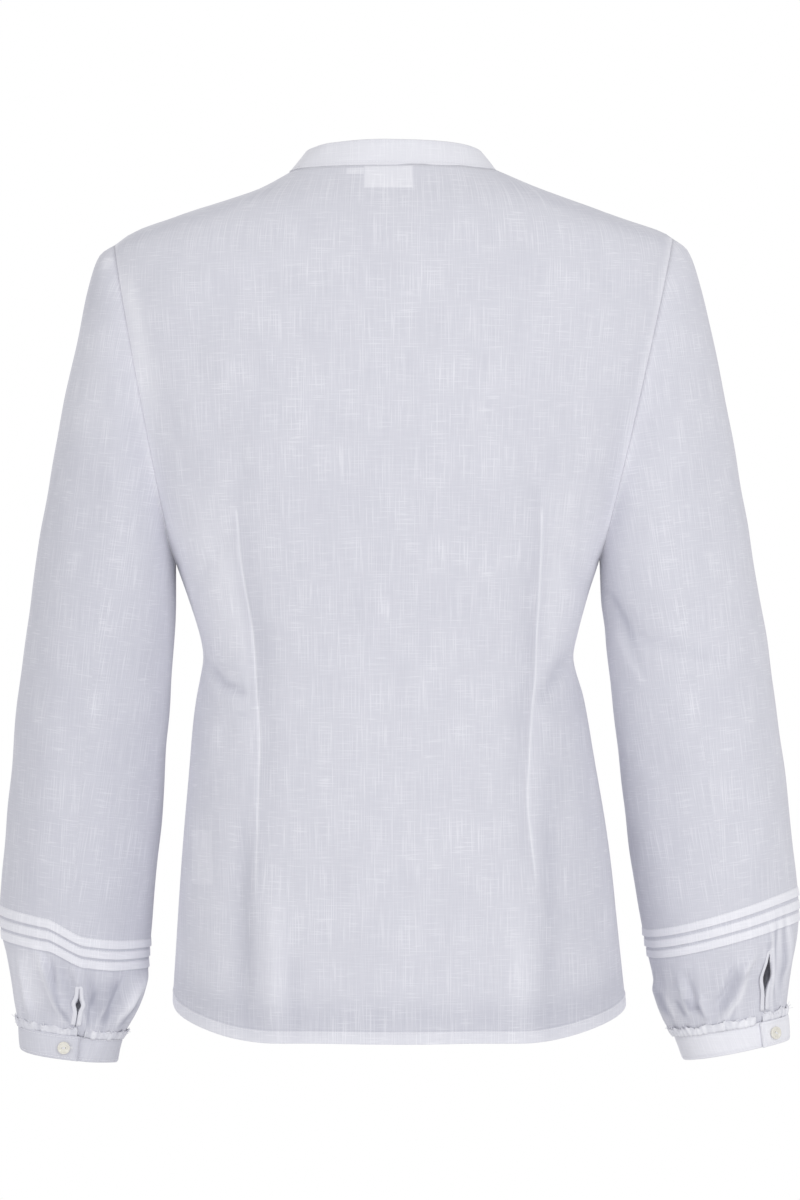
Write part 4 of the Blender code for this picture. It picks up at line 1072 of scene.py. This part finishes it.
def make_frill(side, folded):
    """The gathered heading above a cuff, with the short threads that fray from it."""
    gap = math.radians(4)
    share, high = np.meshgrid(np.linspace(0, 1, 181), np.linspace(0, 1, 9))
    turn = CUFF_START[side] + gap + (2 * math.pi - 2 * gap) * share
    down = mix(0.9995, 1 - FRILL_HIGH / SLEEVE_LONG, high)
    wave = np.cos(turn * 34 + 2.2 * np.sin(turn * 3)) + 0.5 * np.cos(turn * 21 + 1.0)
    ragged = soft_noise(np.stack([turn, 0 * turn, 0 * turn], -1), 0.03, 8 + side)
    out = 0.0006 + 0.0010 * ease(high / 0.25) - 0.0010 * ease((high - 0.7) / 0.3) + 0.0006 * wave * high
    points = sleeve_points(side, turn, down + (0.0012 * np.cos(turn * 17) + 0.0014 * ragged) * high, out)
    points[..., 2] -= (0.0016 + 0.0005 * ragged) * (1 - high) ** 4  # its foot laps the cuff's top edge
    name = f"cuff_{SIDE_NAMES[side]}_frill"
    # Painted highlights on the crests of its waves and painted shade in their troughs, each cuff's painted
    # light or shade at half strength, and tone that varies along its ragged edge.
    tone = CUFF_TONES[side] * 0.5 + 0.25 + 0.30 * wave * high + 0.30 * ragged
    piece = cloth_piece(name, points, side, 0.0006, folded, tone)
    chance = np.random.default_rng(30 + side)
    outward = normals(points, side)
    mesh_data = bmesh.new()
    for column in chance.integers(1, 180, 130):
        row = chance.integers(4, 9)
        start, way = points[row, column], outward[row, column]
        end = start + chance.normal(size=3) * 0.0011 + np.array([0, 0, 0.0008])
        thread_bar(mesh_data, start + way * 0.0002, end + way * 0.0006, way)
    finished(f"{name}_frayed", name, mesh_data, [folded.thread])


def collar_points(place, share, out):
    """Points on the collar band. place is 0 at the back, 1 and -1 at the front, as on the neckline,
    and share is 0 at the neck seam and 1 at the top."""
    side = np.where(place >= 0, LEFT, RIGHT)
    behind = np.abs(place) <= 0.5
    back = body_points(*neck_place(np.clip(2 * place, -1, 1), BACK), BACK)
    ahead = 2 * (side - np.clip(place, -1, 1))
    front = body_points(*neck_place(np.clip(ahead, -1, 1), FRONT), FRONT)
    seam = np.where(behind[..., None], back, front)
    angle = np.clip(place, -1, 1) * math.pi
    outward = np.stack([np.sin(angle), np.cos(angle), np.zeros_like(angle)], -1)
    plain_lean = np.where(behind, COLLAR_LEAN["back"], COLLAR_LEAN["front"])
    lean = mix(plain_lean, COLLAR_LEAN["side"], np.sin(np.abs(place) * math.pi) ** 2)[..., None]
    up_axis = np.array([0.0, 0.0, 1.0])
    up = up_axis * np.cos(lean) - outward * np.sin(lean)
    level = outward * np.cos(lean) + up_axis * np.sin(lean)
    clear = 0.0002 + LAP_STEP / 3 * ease((np.abs(place) - 0.7) / 0.2)
    return seam + up * (clear + COLLAR_HIGH * share)[..., None] + level * np.asarray(out)[..., None]


def make_collar(folded):
    span = OVERLAP / (2 * SHOULDER_LINE[LEFT][0][1] * math.pi / 2)  # how far past 1 each end runs
    place, share = np.meshgrid(np.linspace(-1 - span, 1 + span, 241), BAND_ROWS)
    end_away = (1 + span - np.abs(place)) * 0.25
    edge_away = np.minimum(np.minimum(share, 1 - share) * COLLAR_HIGH, end_away)
    drawn_in, foot = groove(edge_away), bell(share, 0.06)  # the foot laps the neck seam
    lapped = ease((3.0 - (1 - np.abs(place)) / span) / 2.0) * (BAND + 0.0003) / 2
    out = np.where(place > 0, RIGHT, LEFT) * lapped
    out += 0.0010 * foot - 0.0006 * bell(edge_away, BAND_ROUND) - 0.0002 * drawn_in
    points = collar_points(place, share - 0.055 * foot, out)
    past = np.maximum(np.abs(place) - 1, 0) / span * OVERLAP
    points[..., 0] -= np.copysign(past, place)
    points += normals(points, -1) * (RIPPLE * soft_noise(points, 0.015, 9))[..., None]
    # A doubled band, darker along its stitches: painted shade in their groove.
    piece = cloth_piece("collar_band", points, -1, BAND * 0.9, folded, 0.42 - 0.14 * drawn_in)
    stitches("collar_band", points, normals(points, -1), [np.s_[3, 3:-3], np.s_[-4, 3:-3]], folded)


def make_tape(name, tape, place, drop):
    """A label that hangs inside the back, on a grid of (place, drop)."""
    points = body_points(place, drop, BACK)
    points = points - normals(points, 1) * 0.0030
    piece = cloth_piece(name, points, 1, 0.0005, tape)


def make_tapes(tape):
    for name, wide, high in (("neck_label", 0.036, 0.018), ("size_tab", 0.014, 0.006)):
        low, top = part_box(name)
        x, drop = np.meshgrid(np.linspace(low.x, top.x, 9), np.linspace(0.003, 0.003 + high, 7))
        make_tape(name, tape, place_of(x, drop), drop)
    place, drop = np.meshgrid(np.linspace(0.72, 0.95, 9), np.linspace(0.504, 0.546, 9))
    make_tape("care_label", tape, place, drop)


def buttonhole(name, node, middle, along_hole, up, bend, folded):
    """The threads worked close together across a buttonhole, on cloth that bends this tightly."""
    across = up.cross(along_hole) * 0.001
    mesh_data = bmesh.new()
    for step in np.arange(-HOLE_LONG / 2, HOLE_LONG / 2, HOLE_PITCH):
        at = middle + along_hole * step - up * (step * step / (2 * bend))
        thread_bar(mesh_data, at - across, at + across, up, 0.00036, 0.0005)
    finished(f"{name}_hole", node, mesh_data, [folded.thread])


def shell_disc(mesh_data):
    """A turned button, flat on Z: a rounded disc with a raised rim and a dished middle."""
    bmesh.ops.create_cone(mesh_data, cap_ends=True, segments=44, radius1=BUTTON_RADIUS,
                          radius2=BUTTON_RADIUS, depth=BUTTON_THICK)
    mesh_data.normal_update()
    rim = [e for e in mesh_data.edges if abs(e.verts[0].co.z - e.verts[1].co.z) < 1e-6]
    bmesh.ops.bevel(mesh_data, geom=rim, offset=RIM_ROUND, offset_type="OFFSET", affect="EDGES",
                    segments=3, profile=0.5, material=-1)
    mesh_data.normal_update()
    top = [f for f in mesh_data.faces if f.normal.z > 0.99]
    bmesh.ops.inset_region(mesh_data, faces=top, thickness=RIM_WIDE, depth=0)
    bmesh.ops.inset_region(mesh_data, faces=top, thickness=DISH_SLOPE, depth=-DISH_DEEP)
    for face in mesh_data.faces:
        face.smooth = len(face.verts) == 4


def let_in(mesh_data, verts, at, material_index):
    """Puts a new small shape in its place on a button, in its own material."""
    bmesh.ops.translate(mesh_data, vec=at, verts=verts)
    for face in {f for v in verts for f in v.link_faces}:
        face.material_index = material_index


def button(name, node, normal, bend, looks, folded):
    """A shell button sewn on through two holes, and the buttonhole under it."""
    mesh_data = bmesh.new()
    shell_disc(mesh_data)
    # Each eye is a small dark disc let into the dish: painted shade standing in for the hole.
    for x in (-EYE_APART / 2, EYE_APART / 2):
        made = bmesh.ops.create_cone(mesh_data, cap_ends=True, segments=12, radius1=EYE_RADIUS,
                                     radius2=EYE_RADIUS, depth=0.0004)["verts"]
        let_in(mesh_data, made, (x, 0, BUTTON_THICK / 2 - 0.00075), 2)
    for y in (-0.0003, 0.0, 0.0003):
        made = bmesh.ops.create_cube(mesh_data, size=1)["verts"]
        bmesh.ops.scale(mesh_data, vec=(EYE_APART + 0.0002, 0.00028, THREAD_HIGH), verts=made)
        let_in(mesh_data, made, (0, y, BUTTON_THICK / 2 - 0.00038), 1)
    low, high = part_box(name)
    turn = Vector((0, 0, 1)).rotation_difference(normal).to_matrix().to_4x4()
    turn.translation = (low + high) / 2
    bmesh.ops.transform(mesh_data, matrix=turn, verts=mesh_data.verts)
    finished(f"{name}_shell", name, mesh_data, looks)
    way = Vector((1, 0, 0)) if node == "front_placket" else Vector((0, 0, 1))
    foot = turn.translation - normal * (BUTTON_THICK / 2 + 0.0003)
    buttonhole(name, node, foot, way.cross(normal).normalized(), normal, bend, folded)


def grid_normal(points, sign):
    """The outward direction in the middle of a three by three grid of points."""
    return Vector(normals(points, sign)[1, 1])


def make_buttons(folded):
    looks = shell(), folded.thread, plain("button eye, painted shade", "55534d", 0.9)
    around = np.array([-0.006, 0.0, 0.006])
    for number in range(1, 8):
        name = f"front_button_{number}"
        low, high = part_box(name)
        x, drop = np.meshgrid(around, around - (low.z + high.z) / 2)
        normal = grid_normal(body_points(place_of(x, drop), drop, FRONT), -1)
        button(name, "front_placket", normal, 1.0, looks, folded)
    for side in (LEFT, RIGHT):
        at = CUFF_START[side] - CUFF_LAP * 0.53
        turn, share = np.meshgrid((at - 0.1, at, at + 0.1), (0.3, 0.5, 0.7))
        normal = grid_normal(cuff_points(side, turn, share, 0.0), -side)
        cuff = f"cuff_{SIDE_NAMES[side]}"
        button(f"{cuff}_button", cuff, normal, CUFF_RADIUS, looks, folded)
    place, share = np.meshgrid((0.96, 0.98, 1.0), (0.3, 0.5, 0.7))
    normal = grid_normal(collar_points(place, share, np.zeros_like(place)), -1)
    button("collar_button", "collar_band", Vector((0, normal.y, normal.z)).normalized(), 0.06, looks, folded)


# ---- light, floor and camera -------------------------------------------------------------
def add_world(scene):
    """A white room, whose light is dimmer than the white that is seen behind the blouse."""
    world = bpy.data.worlds.new("white studio")
    scene.world = world
    world.use_nodes = True
    tree = world.node_tree
    sky = tree.nodes["Background"]
    seen = add(tree, "LightPath", {}, {})["Is Camera Ray"]
    strength = add(tree, "Math", {"operation": "MULTIPLY_ADD"}, {0: seen, 1: 1.0 - AMBIENT, 2: AMBIENT})
    tree.links.new(strength[0], sky.inputs["Strength"])
    sky.inputs["Color"].default_value = (1, 1, 1, 1)


def add_lamps(scene):
    for name, at, power, size in LAMPS:
        data = bpy.data.lights.new(name, "AREA")
        data.shape, data.size, data.energy = "DISK", size, power
        lamp = bpy.data.objects.new(name, data)
        lamp.location = at
        lamp.rotation_euler = (LAMP_AIM - Vector(at)).to_track_quat("-Z", "Y").to_euler()
        scene.collection.objects.link(lamp)


def add_floor(scene):
    mesh_data = bmesh.new()
    bmesh.ops.create_circle(mesh_data, cap_ends=True, segments=96, radius=3.0)
    bmesh.ops.translate(mesh_data, vec=(0, 0, -FLOOR_DROP), verts=mesh_data.verts)
    mesh = bpy.data.meshes.new("floor")
    mesh_data.to_mesh(mesh)
    mesh_data.free()
    mesh.materials.append(plain("pale studio floor", "f2f2f4", 0.9))
    floor = bpy.data.objects.new("floor", mesh)
    scene.collection.objects.link(floor)


def add_camera(scene):
    data = bpy.data.cameras.new("camera")
    data.lens, data.sensor_width = LENS, 36
    data.dof.use_dof = False
    data.clip_end = 50
    camera = bpy.data.objects.new("camera", data)
    camera.location = CAMERA_AT
    camera.rotation_euler = (math.pi / 2, 0, math.pi)
    scene.collection.objects.link(camera)
    scene.camera = camera


def main():
    thread = plain("sewing thread", "ececf1", 0.8)
    single = Cloth(cotton("slub cotton voile", *COTTON_COLOURS), "slub_cotton", thread)
    over_labels = cotton("slub cotton voile, labels behind", *COTTON_COLOURS, patches=LABEL_PATCHES)
    pressed = cotton("slub cotton, doubled and pressed", *PRESSED_COLOURS, weave=0.5)
    folded = Cloth(pressed, "folded_cotton", thread)
    make_back(Cloth(over_labels, "slub_cotton", thread))
    make_placket(folded)
    for side in (LEFT, RIGHT):
        make_front(side, single)
        make_sleeve(side, single)
        make_binding(side, folded)
        make_cuff(side, folded)
        make_frill(side, folded)
    make_collar(folded)
    make_tapes(Cloth(plain("woven satin tape", "ececf1", 0.6), "label_tape", thread))
    make_buttons(folded)
    scene = bpy.context.scene
    scene.view_settings.view_transform = "Standard"
    add_world(scene)
    add_lamps(scene)
    add_floor(scene)
    add_camera(scene)


main()
